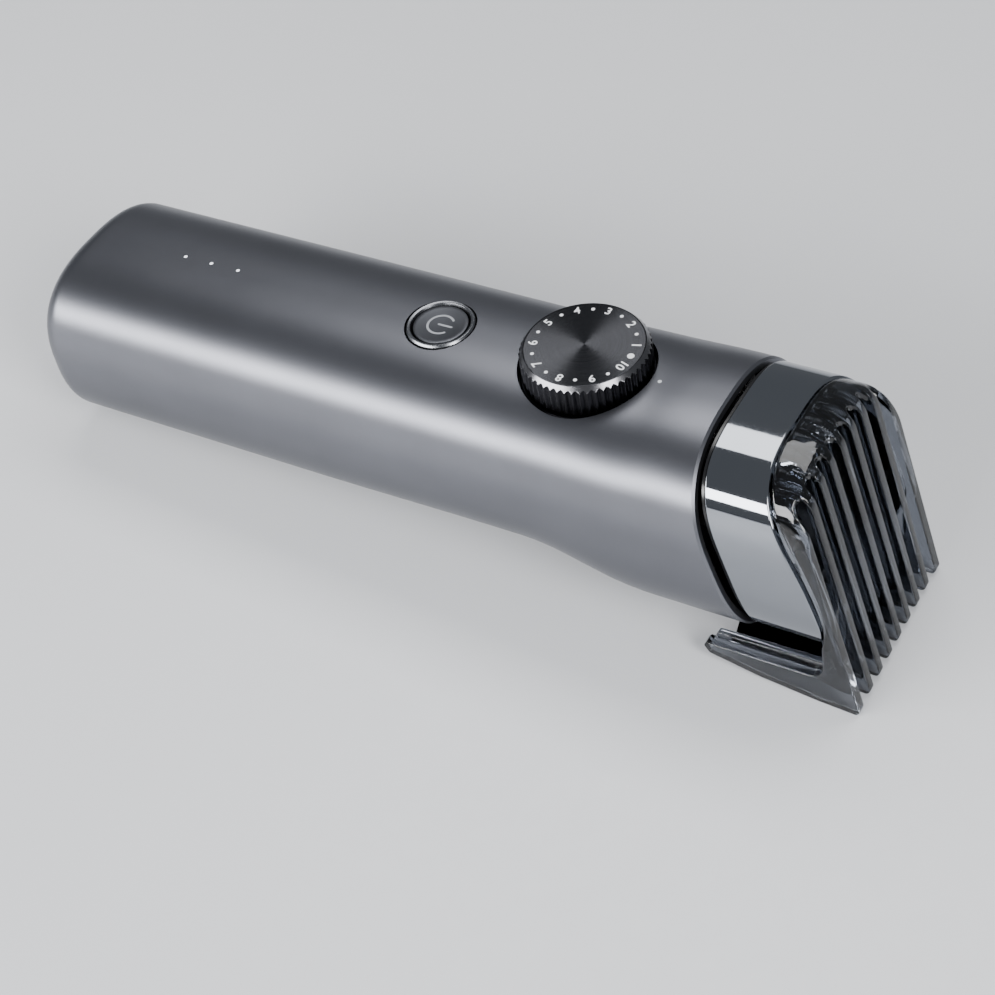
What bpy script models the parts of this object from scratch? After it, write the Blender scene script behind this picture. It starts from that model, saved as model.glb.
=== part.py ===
"""A cordless beard trimmer: a metal sleeve, a length dial, a chrome head and a sliding comb.

Local frame: X runs to the head, Z to the dial side, and the trimmer is symmetric about Y = 0.
The empty "trimmer_frame" stands where the dial's axis crosses the sleeve's long axis, and it
lifts the model so that the world's origin is at the bottom centre of the whole object.
"""

import math

import bmesh
import bpy
from mathutils import Matrix, Vector

# Driving dimensions, in metres. Places are measured from the trimmer frame.
FRAME_X = 0.0267
FRAME_Z = 0.0293
GAP = 0.0003
FILL_SCALE = 1000.0

# Sleeve.
SLEEVE_REAR = -0.1081
SLEEVE_FRONT = 0.0304
SLEEVE_HALF_WIDTH = 0.0200
SLEEVE_HALF_HEIGHT = 0.0169
SLEEVE_POWER = 2.6
SLEEVE_WALL = 0.0015
REAR_ROUND = 0.0050
REAR_TURN = math.radians(75)
WAIST_X = -0.0120
WAIST_DEPTH = 0.0007
FLARE_END = 0.0160
FLARE_WIDTH = 0.0004
FLARE_TOP = 0.0006
FLARE_BOTTOM = 0.0038
FLARE_POWER = 3.0
FRONT_LEAN = 0.264
AROUND = 40

# Rear end.
CAP_INSET = 0.0046
CAP_THICKNESS = 0.0022
SOCKET_Z = 0.0070
SOCKET_WIDTH = 0.0090
SOCKET_HEIGHT = 0.0032
SOCKET_DEPTH = 0.0095

# Head band.
BAND_HALF_WIDTH = 0.0186
BAND_TOP = 0.0168
BAND_BOTTOM = 0.0196
BAND_WALL = 0.0012
BAND_REAR = 0.0319
BAND_POWER_TOP = 3.2
BAND_POWER_BOTTOM = 3.8
BEZEL_LIP_END = 0.0350
RIM_TOP_X = 0.0373
RIM_NOSE_X = 0.0482
RIM_NOSE_Z = -0.0110
RIM_HEEL_X = 0.0445

# Comb.
COMB_HALF_WIDTH = 0.0180
COMB_WALL = 0.0017
COMB_TEETH = 9
TOOTH_PITCH = 0.00413
TOOTH_THICKNESS = 0.0017
TOOTH_DEPTH = 0.0040
COMB_LEAN = math.radians(12.4)
COMB_ROUND = 0.0045
COMB_ROUND_X = 0.0410
COMB_TOP_SKIN = 0.0016
COMB_TIP_X = 0.0547
SLOT_START = 0.0410
SOLE_TILT = 0.0768
SOLE_Z = -0.0251
PRONG_TIP_X = 0.0264
INNER_PRONG_TIP_X = 0.0293
PRONG_TOP = -0.0226
INNER_PRONG_TOP = -0.0254

# Cutter.
BLADE_LEVEL_X = 0.04377
BLADE_PITCH = 0.00138
BLADE_TEETH = 22
MOVING_TEETH = 19
BLADE_TOOTH_LENGTH = 0.0050
FIXED_BLADE = 0.0009
MOVING_BLADE = 0.0007
CUTTER_HALF_WIDTH = 0.0131
CUTTER_WALL = 0.0022
BLADE_RECESS = 0.0023
BLADE_GAP = 0.00015

# Dial.
DIAL_RADIUS = 0.0111
DIAL_TOP = 0.02105
DIAL_FOOT = 0.0153
DIAL_RIBS = 54
DIAL_SEAT_RADIUS = 0.0115
DIAL_SEAT_TOP = 0.0150
DIAL_SEAT_BOTTOM = 0.0135
DIAL_STOPS = 20
PINION_TEETH = 10
RACK_PITCH = 0.0010
PINION_RADIUS = PINION_TEETH * RACK_PITCH / (2 * math.pi)
RACK_Z = 0.0091
RACK_HEIGHT = 0.0020

# Power button and charge lights.
BUTTON_X = -0.02857
BUTTON_RING = 0.00608
BUTTON_RADIUS = 0.0049
LIGHTS_X = (-0.0836, -0.0777, -0.0717)

# Drive and battery.
MOTOR_Z = -0.0040
MOTOR_RADIUS = 0.0086
MOTOR_REAR = -0.0010
MOTOR_FRONT = 0.0228
ECCENTRIC_THROW = 0.0007
BATTERY_RADIUS = 0.0090
BATTERY_LENGTH = 0.0650
BATTERY_REAR = -0.0990
BATTERY_Z = -0.0040
BOARD_Z = 0.0095
BOARD_THICKNESS = 0.0012

COLOURS = {
    "gunmetal": ((0.11, 0.115, 0.135), 1.0, 0.38),
    "dark_chrome": ((0.16, 0.18, 0.21), 1.0, 0.08),
    "black_plastic": ((0.012, 0.012, 0.014), 0.0, 0.45),
    "black_metal": ((0.02, 0.02, 0.023), 1.0, 0.30),
    "smoke_plastic": ((0.10, 0.11, 0.13), 0.0, 0.12),
    "steel": ((0.60, 0.60, 0.62), 1.0, 0.25),
    "rubber": ((0.02, 0.02, 0.02), 0.0, 0.80),
    "white_plastic": ((0.80, 0.80, 0.80), 0.0, 0.50),
    "circuit_green": ((0.02, 0.10, 0.05), 0.0, 0.50),
    "battery_wrap": ((0.03, 0.12, 0.30), 0.0, 0.40),
    "brass": ((0.60, 0.45, 0.20), 1.0, 0.30),
    "magnet": ((0.08, 0.08, 0.09), 0.0, 0.60),
}


# Scene and objects.

def clear_scene():
    for obj in list(bpy.data.objects):
        bpy.data.objects.remove(obj, do_unlink=True)


def collection(name):
    made = bpy.data.collections.new(name)
    bpy.context.scene.collection.children.link(made)
    return made


def material(name):
    made = bpy.data.materials.get(name)
    if made:
        return made
    colour, metallic, roughness = COLOURS[name]
    made = bpy.data.materials.new(name)
    made.use_nodes = True
    shader = made.node_tree.nodes["Principled BSDF"]
    shader.inputs["Base Color"].default_value = (*colour, 1.0)
    shader.inputs["Metallic"].default_value = metallic
    shader.inputs["Roughness"].default_value = roughness
    return made


def add(name, mesh, finish=None, at=(0, 0, 0), turn=(0, 0, 0)):
    """Puts a mesh in the trimmer as a named piece, or as a helper when it has no finish."""
    obj = bpy.data.objects.new(name, mesh)
    (PARTS if finish else CUTTERS).objects.link(obj)
    obj.parent = FRAME
    obj.location = at
    obj.rotation_euler = turn
    if finish:
        mesh.materials.append(material(finish))
    else:
        obj.hide_render = True
        obj.display_type = "WIRE"
    return obj


def boolean(obj, other, operation):
    step = obj.modifiers.new(f"{operation.lower()}_{other.name}", "BOOLEAN")
    step.operation = operation
    step.solver = "EXACT"
    step.object = other
    return obj


def cut(obj, *cutters):
    for cutter in cutters:
        boolean(obj, cutter, "DIFFERENCE")
    return obj


def join(obj, *others):
    for other in others:
        boolean(obj, other, "UNION")
    return obj


def smooth(mesh, angle=35):
    mesh.shade_smooth()
    mesh.set_sharp_from_angle(angle=math.radians(angle))
    return mesh


# Shapes.

def box(name, low, high, finish=None):
    """A block between two corners."""
    centre = (Vector(low) + Vector(high)) / 2
    size = Vector(high) - Vector(low)
    shape = bmesh.new()
    bmesh.ops.create_cube(shape, size=1.0)
    bmesh.ops.scale(shape, vec=size, verts=shape.verts)
    mesh = bpy.data.meshes.new(name)
    shape.to_mesh(mesh)
    shape.free()
    return add(name, mesh, finish, centre)


def rod(name, radius, length, at, finish=None, turn=(0, 0, 0), sides=24):
    """A cylinder centred at a point, along Z before it is turned."""
    shape = bmesh.new()
    bmesh.ops.create_cone(
        shape, cap_ends=True, segments=sides, radius1=radius, radius2=radius, depth=length
    )
    mesh = bpy.data.meshes.new(name)
    shape.to_mesh(mesh)
    shape.free()
    return add(name, smooth(mesh), finish, at, turn)


ALONG_X = (0, math.pi / 2, 0)


def turned(name, profile, finish=None, at=(0, 0, 0), turn=(0, 0, 0), steps=48):
    """A turned piece. The profile's (radius, height) points run down its outer side."""
    on_axis = profile[0][0] == 0
    mesh = bpy.data.meshes.new(name)
    points = [(radius, 0, height) for radius, height in profile]
    edges = [(i, i + 1) for i in range(len(points) - 1)]
    if not on_axis:
        edges.append((len(points) - 1, 0))
    mesh.from_pydata(points, edges, [])
    obj = add(name, mesh, finish, at, turn)
    step = obj.modifiers.new("turn", "SCREW")
    step.steps = steps
    step.render_steps = steps
    step.use_merge_vertices = True
    step.merge_threshold = 0.00001
    step.use_smooth_shade = True
    return obj


def slab(name, outline, thickness, finish=None, matrix=None):
    """A flat outline with a thickness, placed by a matrix that carries its plane.

    It is filled at FILL_SCALE times its size, because a curve's fill merges very close points.
    """
    flat = bpy.data.curves.new(name, "CURVE")
    flat.dimensions = "2D"
    flat.fill_mode = "BOTH"
    flat.extrude = FILL_SCALE * thickness / 2
    spline = flat.splines.new("POLY")
    spline.points.add(len(outline) - 1)
    for point, (across, up) in zip(spline.points, outline):
        point.co = (FILL_SCALE * across, FILL_SCALE * up, 0, 1)
    spline.use_cyclic_u = True
    holder = bpy.data.objects.new(name + "_outline", flat)
    CUTTERS.objects.link(holder)
    bpy.context.view_layer.update()
    graph = bpy.context.evaluated_depsgraph_get()
    mesh = bpy.data.meshes.new_from_object(holder.evaluated_get(graph))
    shape = bmesh.new()
    shape.from_mesh(mesh)
    bmesh.ops.remove_doubles(shape, verts=shape.verts, dist=0.0001)
    bmesh.ops.recalc_face_normals(shape, faces=shape.faces)
    bmesh.ops.scale(shape, vec=[1 / FILL_SCALE] * 3, verts=shape.verts)
    shape.to_mesh(mesh)
    shape.free()
    bpy.data.objects.remove(holder, do_unlink=True)
    obj = add(name, mesh, finish)
    obj.matrix_local = matrix or Matrix.Identity(4)
    return obj


def toothed_slab(name, outline, thickness, finish=None, matrix=None):
    """A slab whose outline has fine teeth: one face, extruded, since a curve's fill skips slivers."""
    shape = bmesh.new()
    corners = [shape.verts.new((across, up, -thickness / 2)) for across, up in outline]
    base = shape.faces.new(corners)
    grown = bmesh.ops.extrude_face_region(shape, geom=[base])["geom"]
    raised = [item for item in grown if isinstance(item, bmesh.types.BMVert)]
    bmesh.ops.translate(shape, vec=(0, 0, thickness), verts=raised)
    bmesh.ops.recalc_face_normals(shape, faces=shape.faces)
    mesh = bpy.data.meshes.new(name)
    shape.to_mesh(mesh)
    shape.free()
    obj = add(name, mesh, finish)
    obj.matrix_local = matrix or Matrix.Identity(4)
    return obj


def plane_matrix(across, up, origin=(0, 0, 0)):
    """Carries a flat outline's two directions to the given ones, at an origin."""
    across = Vector(across)
    up = Vector(up)
    turn = Matrix((across, up, across.cross(up))).transposed().to_4x4()
    return Matrix.Translation(origin) @ turn


def side_slab(name, outline, half_width, finish=None, centre=0.0):
    """An (x, z) outline, as seen from the side, widened along Y."""
    matrix = plane_matrix((1, 0, 0), (0, 0, 1), (0, centre, 0))
    return slab(name, outline, 2 * half_width, finish, matrix)


def cross_slab(name, outline, start, end, finish=None):
    """A (y, z) outline, as seen from the end, stretched along X."""
    matrix = plane_matrix((0, 1, 0), (0, 0, 1), ((start + end) / 2, 0, 0))
    return slab(name, outline, end - start, finish, matrix)


def arc(centre, radius, start, end, steps):
    """Points on an arc, with its angles in degrees."""
    angles = [math.radians(start + (end - start) * i / steps) for i in range(steps + 1)]
    return [(centre[0] + radius * math.cos(a), centre[1] + radius * math.sin(a)) for a in angles]


def blend(value, start, end):
    """0 before start, 1 after end, and a smooth step between."""
    share = min(max((value - start) / (end - start), 0.0), 1.0)
    return share * share * (3 - 2 * share)


def oval(half_width, top, bottom, power_top, power_bottom, count=AROUND, start=0.0, sweep=360.0):
    """(y, z) points on a superellipse whose upper and lower halves differ."""
    points = []
    for i in range(count):
        angle = math.radians(start + sweep * i / (count if sweep == 360 else count - 1))
        y, z = math.cos(angle), math.sin(angle)
        height, power = (top, power_top) if z >= 0 else (bottom, power_bottom)
        reach = (abs(y / half_width) ** power + abs(z / height) ** power) ** (-1 / power)
        points.append((y * reach, z * reach))
    return points


def tube_shell(name, rings, wall, finish=None):
    """A shell lofted through closed rings of points, with its wall inside them."""
    count = len(rings[0])
    vertices = [point for ring in rings for point in ring]
    faces = []
    for r in range(len(rings) - 1):
        for i in range(count):
            j = (i + 1) % count
            a, b = r * count, (r + 1) * count
            faces.append((a + i, a + j, b + j, b + i))
    mesh = bpy.data.meshes.new(name)
    mesh.from_pydata(vertices, [], faces)
    obj = add(name, smooth(mesh), finish)
    step = obj.modifiers.new("wall", "SOLIDIFY")
    step.thickness = wall
    step.offset = -1
    step.use_even_offset = True
    return obj


# Sleeve and rear end.

def sleeve_section(x, inset=0.0):
    """The sleeve's outer section at a station: half width, top, bottom and the two powers."""
    flare = blend(x, WAIST_X + 0.005, FLARE_END)
    waist = blend(x, -0.050, WAIST_X) * WAIST_DEPTH * (1 - flare)
    crown = blend(x, 0.010, 0.028)
    return (
        SLEEVE_HALF_WIDTH + FLARE_WIDTH * flare - inset,
        SLEEVE_HALF_HEIGHT + FLARE_TOP * crown - inset,
        SLEEVE_HALF_HEIGHT - waist + FLARE_BOTTOM * flare - inset,
        SLEEVE_POWER,
        SLEEVE_POWER + (FLARE_POWER - SLEEVE_POWER) * flare,
    )


def sleeve_ring(x, inset=0.0, lean=0.0, count=AROUND):
    return [(x - lean * z, y, z) for y, z in oval(*sleeve_section(x, inset), count)]


def body_sleeve():
    rings = []
    for i in range(5):
        turn = REAR_TURN * (1 - i / 4)
        x = SLEEVE_REAR + REAR_ROUND * (1 - math.sin(turn))
        rings.append(sleeve_ring(x, REAR_ROUND * (1 - math.cos(turn))))
    stations = [-0.045, -0.028, WAIST_X, -0.006, -0.001, 0.004, 0.009, 0.014, 0.019, 0.0245]
    stations.append(SLEEVE_FRONT)
    for x in stations:
        rings.append(sleeve_ring(x, lean=FRONT_LEAN * blend(x, 0.009, 0.026)))
    sleeve = tube_shell("body_sleeve", rings, SLEEVE_WALL, "gunmetal")
    holes = [
        rod("dial_hole", DIAL_SEAT_RADIUS + GAP, 0.02, (0, 0, 0.02), sides=48),
        rod("button_hole", BUTTON_RING + GAP, 0.02, (BUTTON_X, 0, 0.02), sides=32),
    ]
    for i, x in enumerate(LIGHTS_X):
        holes.append(rod(f"light_hole_{i + 1}", 0.00075, 0.02, (x, 0, 0.02), sides=12))
    return cut(sleeve, *holes)


def end_oval(inset, count=32):
    return oval(*sleeve_section(SLEEVE_REAR, inset), count)


def rounded_slot(width, height, centre_z, steps=6):
    """A (y, z) outline with half-round ends."""
    reach = (width - height) / 2
    right = arc((reach, centre_z), height / 2, -90, 90, steps)
    left = arc((-reach, centre_z), height / 2, 90, 270, steps)
    return right + left


def rear_end():
    plate_end = SLEEVE_REAR + CAP_THICKNESS
    cap = cross_slab("end_cap", end_oval(CAP_INSET), SLEEVE_REAR, plate_end, "black_plastic")
    flange = cross_slab("cap_flange", end_oval(0.0034), plate_end - 0.0002, -0.1028)
    hollow = cross_slab("cap_hollow", end_oval(0.0052), plate_end + 0.0003, -0.1020)
    port = rounded_slot(SOCKET_WIDTH + 0.0007, SOCKET_HEIGHT + 0.0007, SOCKET_Z)
    join(cap, flange)
    cut(cap, hollow, cross_slab("cap_port", port, SLEEVE_REAR - 0.001, -0.1010))
    seal = cross_slab("end_cap_seal", end_oval(0.00215), -0.1046, -0.1034, "rubber")
    cut(seal, cross_slab("seal_hole", end_oval(0.0031), -0.1060, -0.1020))
    shell = rounded_slot(SOCKET_WIDTH, SOCKET_HEIGHT, SOCKET_Z)
    mouth = rounded_slot(SOCKET_WIDTH - 0.0007, SOCKET_HEIGHT - 0.0007, SOCKET_Z)
    start = SLEEVE_REAR + 0.0002
    socket = cross_slab("charging_socket", shell, start, start + SOCKET_DEPTH, "steel")
    cut(socket, cross_slab("socket_mouth", mouth, start - 0.001, start + SOCKET_DEPTH - 0.002))
    tongue = (SOCKET_Z - 0.0004, SOCKET_Z + 0.0004)
    low = (start + 0.001, -0.0032, tongue[0])
    high = (start + SOCKET_DEPTH - 0.001, 0.0032, tongue[1])
    join(socket, box("socket_tongue", low, high))


# Inner frame, battery and electronics.

def inner_frame():
    rear, front = -0.1015, 0.0257
    outer = oval(0.0181, 0.0150, 0.0143, SLEEVE_POWER, SLEEVE_POWER, 29, 180, 180)
    inner = oval(0.0171, 0.0140, 0.0133, SLEEVE_POWER, SLEEVE_POWER, 29, 0, -180)
    lip = 0.0010
    trough = [(-0.0181, lip)] + outer + [(0.0181, lip), (0.0171, lip)] + inner + [(-0.0171, lip)]
    frame = cross_slab("inner_frame", trough, rear, front, "black_plastic")
    wall = [(-0.0176, lip - 0.0004)] + oval(0.0176, 0.0150, 0.0138, 2.6, 2.6, 21, 183, 174)
    wall.append((0.0176, lip - 0.0004))
    for name, start, end in (("middle", -0.0160, -0.0120), ("front", 0.0232, 0.0255)):
        join(frame, cross_slab(f"{name}_bulkhead", wall, start, end))
        for side in (-1, 1):
            low = (start + 0.0002, min(side * 0.0040, side * 0.0085), -0.0030)
            high = (end - 0.0002, max(side * 0.0040, side * 0.0085), 0.0117)
            post = join(frame, box(f"{name}_post_{side}", low, high))
            place = ((start + end) / 2, side * 0.006, 0.0110)
            cut(post, rod(f"{name}_pilot_{side}", 0.0011, 0.006, place))
    cut(
        frame,
        rod("motor_nose_hole", 0.0042, 0.02, (0.0280, 0, MOTOR_Z), None, ALONG_X, 32),
        rod("shaft_tail_hole", 0.0030, 0.02, (-0.0140, 0, MOTOR_Z), None, ALONG_X, 20),
    )
    for side in (-1, 1):
        inside, outside = sorted((side * 0.0131, side * 0.0151))
        cut(frame, box(f"arm_window_{side}", (0.020, inside, -0.0034), (0.030, outside, 0.0034)))


def frame_cover():
    cover = box("frame_cover", (-0.0160, -0.0110, 0.0120), (0.0250, 0.0110, 0.0132), "black_plastic")
    cut(cover, rod("shaft_hole", 0.0025, 0.005, (0, 0, 0.0126)))
    places = [(-0.0140, -0.006), (-0.0140, 0.006), (0.0241, -0.006), (0.0241, 0.006)]
    profile = [(0, 0.0005), (0.0013, 0.0005), (0.0016, 0.0002), (0.0016, -0.0004)]
    profile += [(0.0008, -0.0004), (0.0008, -0.0045), (0, -0.0049)]
    for i, (x, y) in enumerate(places):
        cut(cover, rod(f"screw_hole_{i + 1}", 0.0011, 0.005, (x, y, 0.0126), sides=16))
        turned(f"cover_screw_{i + 1}", profile, "steel", (x, y, 0.0139), steps=16)


def battery():
    centre = BATTERY_REAR + BATTERY_LENGTH / 2
    half = BATTERY_LENGTH / 2
    profile = [(0, half), (0.0030, half), (0.0030, half - 0.0006), (0.0082, half - 0.0006)]
    profile += [(BATTERY_RADIUS, half - 0.0014), (BATTERY_RADIUS, 0.0008 - half)]
    profile += [(0.0082, -half), (0, -half)]
    turned("battery_cell", profile, "battery_wrap", (centre, 0, BATTERY_Z), ALONG_X, 32)
    rear = BATTERY_REAR - 0.0006
    front = BATTERY_REAR + BATTERY_LENGTH + 0.0006
    for name, x, y in (("battery_tab_rear", rear, 0.0065), ("battery_tab_front", front, 0.0)):
        low = (x - 0.0002, y - 0.0015, BATTERY_Z - 0.003)
        box(name, low, (x + 0.0002, y + 0.0015, BOARD_Z - BOARD_THICKNESS), "steel")


def electronics():
    top = BOARD_Z + BOARD_THICKNESS / 2 + GAP
    low = (-0.0970, -0.0105, BOARD_Z - BOARD_THICKNESS / 2)
    box("circuit_board", low, (-0.0166, 0.0105, BOARD_Z + BOARD_THICKNESS / 2), "circuit_green")
    low = (BUTTON_X - 0.0030, -0.0030, top)
    switch = box("power_switch", low, (BUTTON_X + 0.0030, 0.0030, top + 0.0014), "black_plastic")
    cut(switch, rod("switch_well", 0.0014, 0.003, (BUTTON_X, 0, top + 0.0018)))
    rod("switch_plunger", 0.0011, 0.0009, (BUTTON_X, 0, top + 0.00145), "white_plastic")
    for i, x in enumerate(LIGHTS_X):
        high = (x + 0.0008, 0.0005, top + 0.0006)
        box(f"charge_light_{i + 1}", (x - 0.0008, -0.0005, top), high, "white_plastic")
    low = (LIGHTS_X[0] - 0.0020, -0.0015, 0.0132)
    guide = box("light_guide", low, (LIGHTS_X[-1] + 0.0020, 0.0015, 0.0146), "white_plastic")
    for i, x in enumerate(LIGHTS_X):
        join(guide, rod(f"light_pin_{i + 1}", 0.00045, 0.0058, (x, 0, 0.01405), sides=12))


# Power button.

def power_button():
    crown = 0.01718
    ring = [(BUTTON_RING - 0.0003, crown), (BUTTON_RING, crown - 0.0003), (BUTTON_RING, 0.0146)]
    ring += [(0.0052, 0.0146), (0.0052, crown - 0.0006), (0.0054, crown - 0.0001)]
    turned("button_ring", ring, "dark_chrome", (BUTTON_X, 0, 0), steps=32)
    cap = [(0, 0.01675), (0.0040, 0.01685), (BUTTON_RADIUS - 0.0002, 0.0169)]
    cap += [(BUTTON_RADIUS, 0.0167), (BUTTON_RADIUS, 0.0140), (0.0012, 0.0138), (0.0012, 0.0126)]
    cap.append((0, 0.0126))
    turned("button_cap", cap, "black_metal", (BUTTON_X, 0, 0), steps=32)
    seal = [(0.0058, 0.0134), (0.0058, 0.0129), (0.0016, 0.0129), (0.0016, 0.0132)]
    turned("button_seal", seal, "rubber", (BUTTON_X, 0, 0), steps=32)


# Length dial.

def knurl_outline():
    """The dial's fluted edge: a shallow valley between neighbouring ribs."""
    points = []
    for i in range(2 * DIAL_RIBS):
        angle = math.pi * i / DIAL_RIBS
        radius = DIAL_RADIUS - (0.00028 if i % 2 else 0.0)
        points.append((radius * math.cos(angle), radius * math.sin(angle)))
    return points


def pinion_outline():
    """Ten slim teeth, one of them pointing at +Y, where the rack is."""
    root, tip = PINION_RADIUS - 0.00040, PINION_RADIUS + 0.00024
    points = []
    for i in range(PINION_TEETH):
        centre = math.pi / 2 + 2 * math.pi * i / PINION_TEETH
        for radius, half in ((root, 0.00027), (PINION_RADIUS, 0.00018), (tip, 0.00008)):
            points.append((radius, centre - half / radius))
        for radius, half in ((tip, 0.00008), (PINION_RADIUS, 0.00018), (root, 0.00027)):
            points.append((radius, centre + half / radius))
    return [(radius * math.cos(angle), radius * math.sin(angle)) for radius, angle in points]


def notched_outline():
    """The click wheel: a shallow notch for each stop."""
    points = []
    for i in range(4 * DIAL_STOPS):
        angle = 2 * math.pi * i / (4 * DIAL_STOPS)
        radius = 0.0055 - (0.00030, 0.00012, 0.0, 0.00012)[i % 4]
        points.append((radius * math.cos(angle), radius * math.sin(angle)))
    return points


def length_dial():
    seat = [(DIAL_SEAT_RADIUS - 0.0003, DIAL_SEAT_TOP), (DIAL_SEAT_RADIUS, DIAL_SEAT_TOP - 0.0003)]
    seat += [(DIAL_SEAT_RADIUS, DIAL_SEAT_BOTTOM), (0.0034, DIAL_SEAT_BOTTOM)]
    seat.append((0.0034, DIAL_SEAT_TOP))
    turned("dial_seat", seat, "black_metal", steps=40)
    turned("dial_seal", arc((0.0028, 0.0143), 0.0003, 90, -210, 5), "rubber", steps=20)
    knurl_top = DIAL_TOP - 0.0009
    middle = Matrix.Translation((0, 0, (DIAL_FOOT + knurl_top) / 2))
    knurl = toothed_slab("dial_knurl", knurl_outline(), knurl_top - DIAL_FOOT, "black_metal", middle)
    cut(knurl, rod("knurl_bore", 0.0085, 0.02, (0, 0, 0.02), sides=48))
    plate = [(0, DIAL_TOP), (0.0101, DIAL_TOP), (0.0106, DIAL_TOP - 0.0004)]
    plate += [(0.0106, knurl_top + GAP), (0.0082, knurl_top + GAP), (0.0082, 0.0189), (0, 0.0189)]
    turned("dial_plate", plate, "black_metal")
    shaft = [(0, 0.0186), (0.0080, 0.0186), (0.0080, 0.0168), (0.0022, 0.0166), (0.0022, 0.0118)]
    shaft += [(0.0012, 0.0118), (0.0012, 0.0084), (0, 0.0084)]
    spindle = turned("dial_shaft", shaft, "white_plastic", steps=32)
    pinion = Matrix.Translation((0, 0, RACK_Z))
    join(spindle, toothed_slab("dial_pinion", pinion_outline(), RACK_HEIGHT, None, pinion))
    level = Matrix.Translation((0, 0, 0.0110))
    wheel = toothed_slab("click_wheel", notched_outline(), 0.0010, "white_plastic", level)
    cut(wheel, rod("wheel_bore", 0.0015, 0.004, (0, 0, 0.0110)))
    click_spring()


def click_spring():
    """A leaf spring beside the click wheel, with a bump that faces a notch."""
    bump = arc((0.0, -0.00612), 0.0005, 150, 30, 6)
    front = [(-0.0070, -0.0060)] + bump + [(0.0070, -0.0060)]
    back = [(0.0070, -0.0063), (-0.0070, -0.0063)]
    level = Matrix.Translation((0, 0, 0.0110))
    slab("click_spring", front + back, 0.0010, "steel", level)


# Comb and its carriage.

def comb_carriage():
    """The rack, its bridge over the motor, and two arms that carry the comb."""
    points = [(-0.0115, 0.0042), (-0.0115, 0.0020)]
    for i in range(13):
        x = (i - 10.5) * RACK_PITCH
        points += [(x - 0.00030, 0.0020), (x - 0.00010, 0.00135)]
        points += [(x + 0.00010, 0.00135), (x + 0.00030, 0.0020)]
    points += [(0.0130, 0.0020), (0.0130, 0.0042)]
    level = Matrix.Translation((0, 0, RACK_Z))
    carriage = toothed_slab("comb_carriage", points, RACK_HEIGHT, "black_plastic", level)
    join(carriage, box("carriage_bridge", (0.0080, -0.0147, 0.0062), (0.0130, 0.0147, 0.0078)))
    join(carriage, box("rack_foot", (0.0085, 0.0024, 0.0070), (0.0125, 0.0039, RACK_Z)))
    for side in (-1, 1):
        inside, outside = sorted((side * 0.0134, side * 0.0146))
        join(carriage, box(f"arm_{side}", (0.0088, inside, -0.0028), (0.0425, outside, 0.0028)))
        inside, outside = sorted((side * 0.0136, side * 0.0144))
        join(carriage, box(f"drop_{side}", (0.0084, inside, -0.0015), (0.0126, outside, 0.0070)))
        join(carriage, rod(f"arm_bump_{side}", 0.0006, 0.0040, (0.0412, side * 0.0144, 0)))


def rim_x(z):
    """How far forward the head band reaches at a height: a nose, and a heel under it."""
    if z > RIM_NOSE_Z:
        share = (z - RIM_NOSE_Z) / (BAND_TOP - RIM_NOSE_Z)
        return RIM_NOSE_X - (RIM_NOSE_X - RIM_TOP_X) * share**1.4
    share = (RIM_NOSE_Z - z) / (BAND_BOTTOM + RIM_NOSE_Z)
    return RIM_NOSE_X - (RIM_NOSE_X - RIM_HEEL_X) * share**2.5


def sole_z(x):
    return SOLE_Z - SOLE_TILT * x


def front_point(distance):
    """A point on the comb's leaning front, by its distance below the rounded top corner."""
    start_x = COMB_ROUND_X + COMB_ROUND * math.cos(COMB_LEAN)
    start_z = BAND_TOP - COMB_ROUND + COMB_ROUND * math.sin(COMB_LEAN)
    x = start_x + distance * math.sin(COMB_LEAN)
    return x, start_z - distance * math.cos(COMB_LEAN)


def comb_side():
    """The comb from the side: rounded top corner, leaning front, sole, prong and rear edge."""
    top = BAND_TOP
    lean = math.degrees(COMB_LEAN)
    outline = [(rim_x(top) + GAP, top)]
    outline += arc((COMB_ROUND_X, top - COMB_ROUND), COMB_ROUND, 90, lean, 8)
    outline += [front_point(0.0418), (COMB_TIP_X, sole_z(COMB_TIP_X) + 0.0008)]
    outline += [(COMB_TIP_X - 0.0004, sole_z(COMB_TIP_X) + 0.0001)]
    outline += [(COMB_TIP_X - 0.0010, sole_z(COMB_TIP_X)), (0.0470, sole_z(0.0470))]
    outline += [(0.0364, sole_z(0.0364) + 0.0007), (0.0290, sole_z(0.0290) + 0.0014)]
    outline += [(PRONG_TIP_X + 0.0004, -0.0252), (PRONG_TIP_X, -0.0244)]
    outline += [(PRONG_TIP_X, PRONG_TOP - 0.0002), (PRONG_TIP_X + 0.0004, PRONG_TOP)]
    outline += arc((0.0443, -0.0188), 0.0038, -90, 0, 6)
    for i in range(10):
        z = -0.0170 + (top + 0.0170) * i / 10
        rim = max(rim_x(z), rim_x(-0.0150)) if z < RIM_NOSE_Z else rim_x(z)
        outline.append((rim + GAP, z))
    return outline


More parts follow.
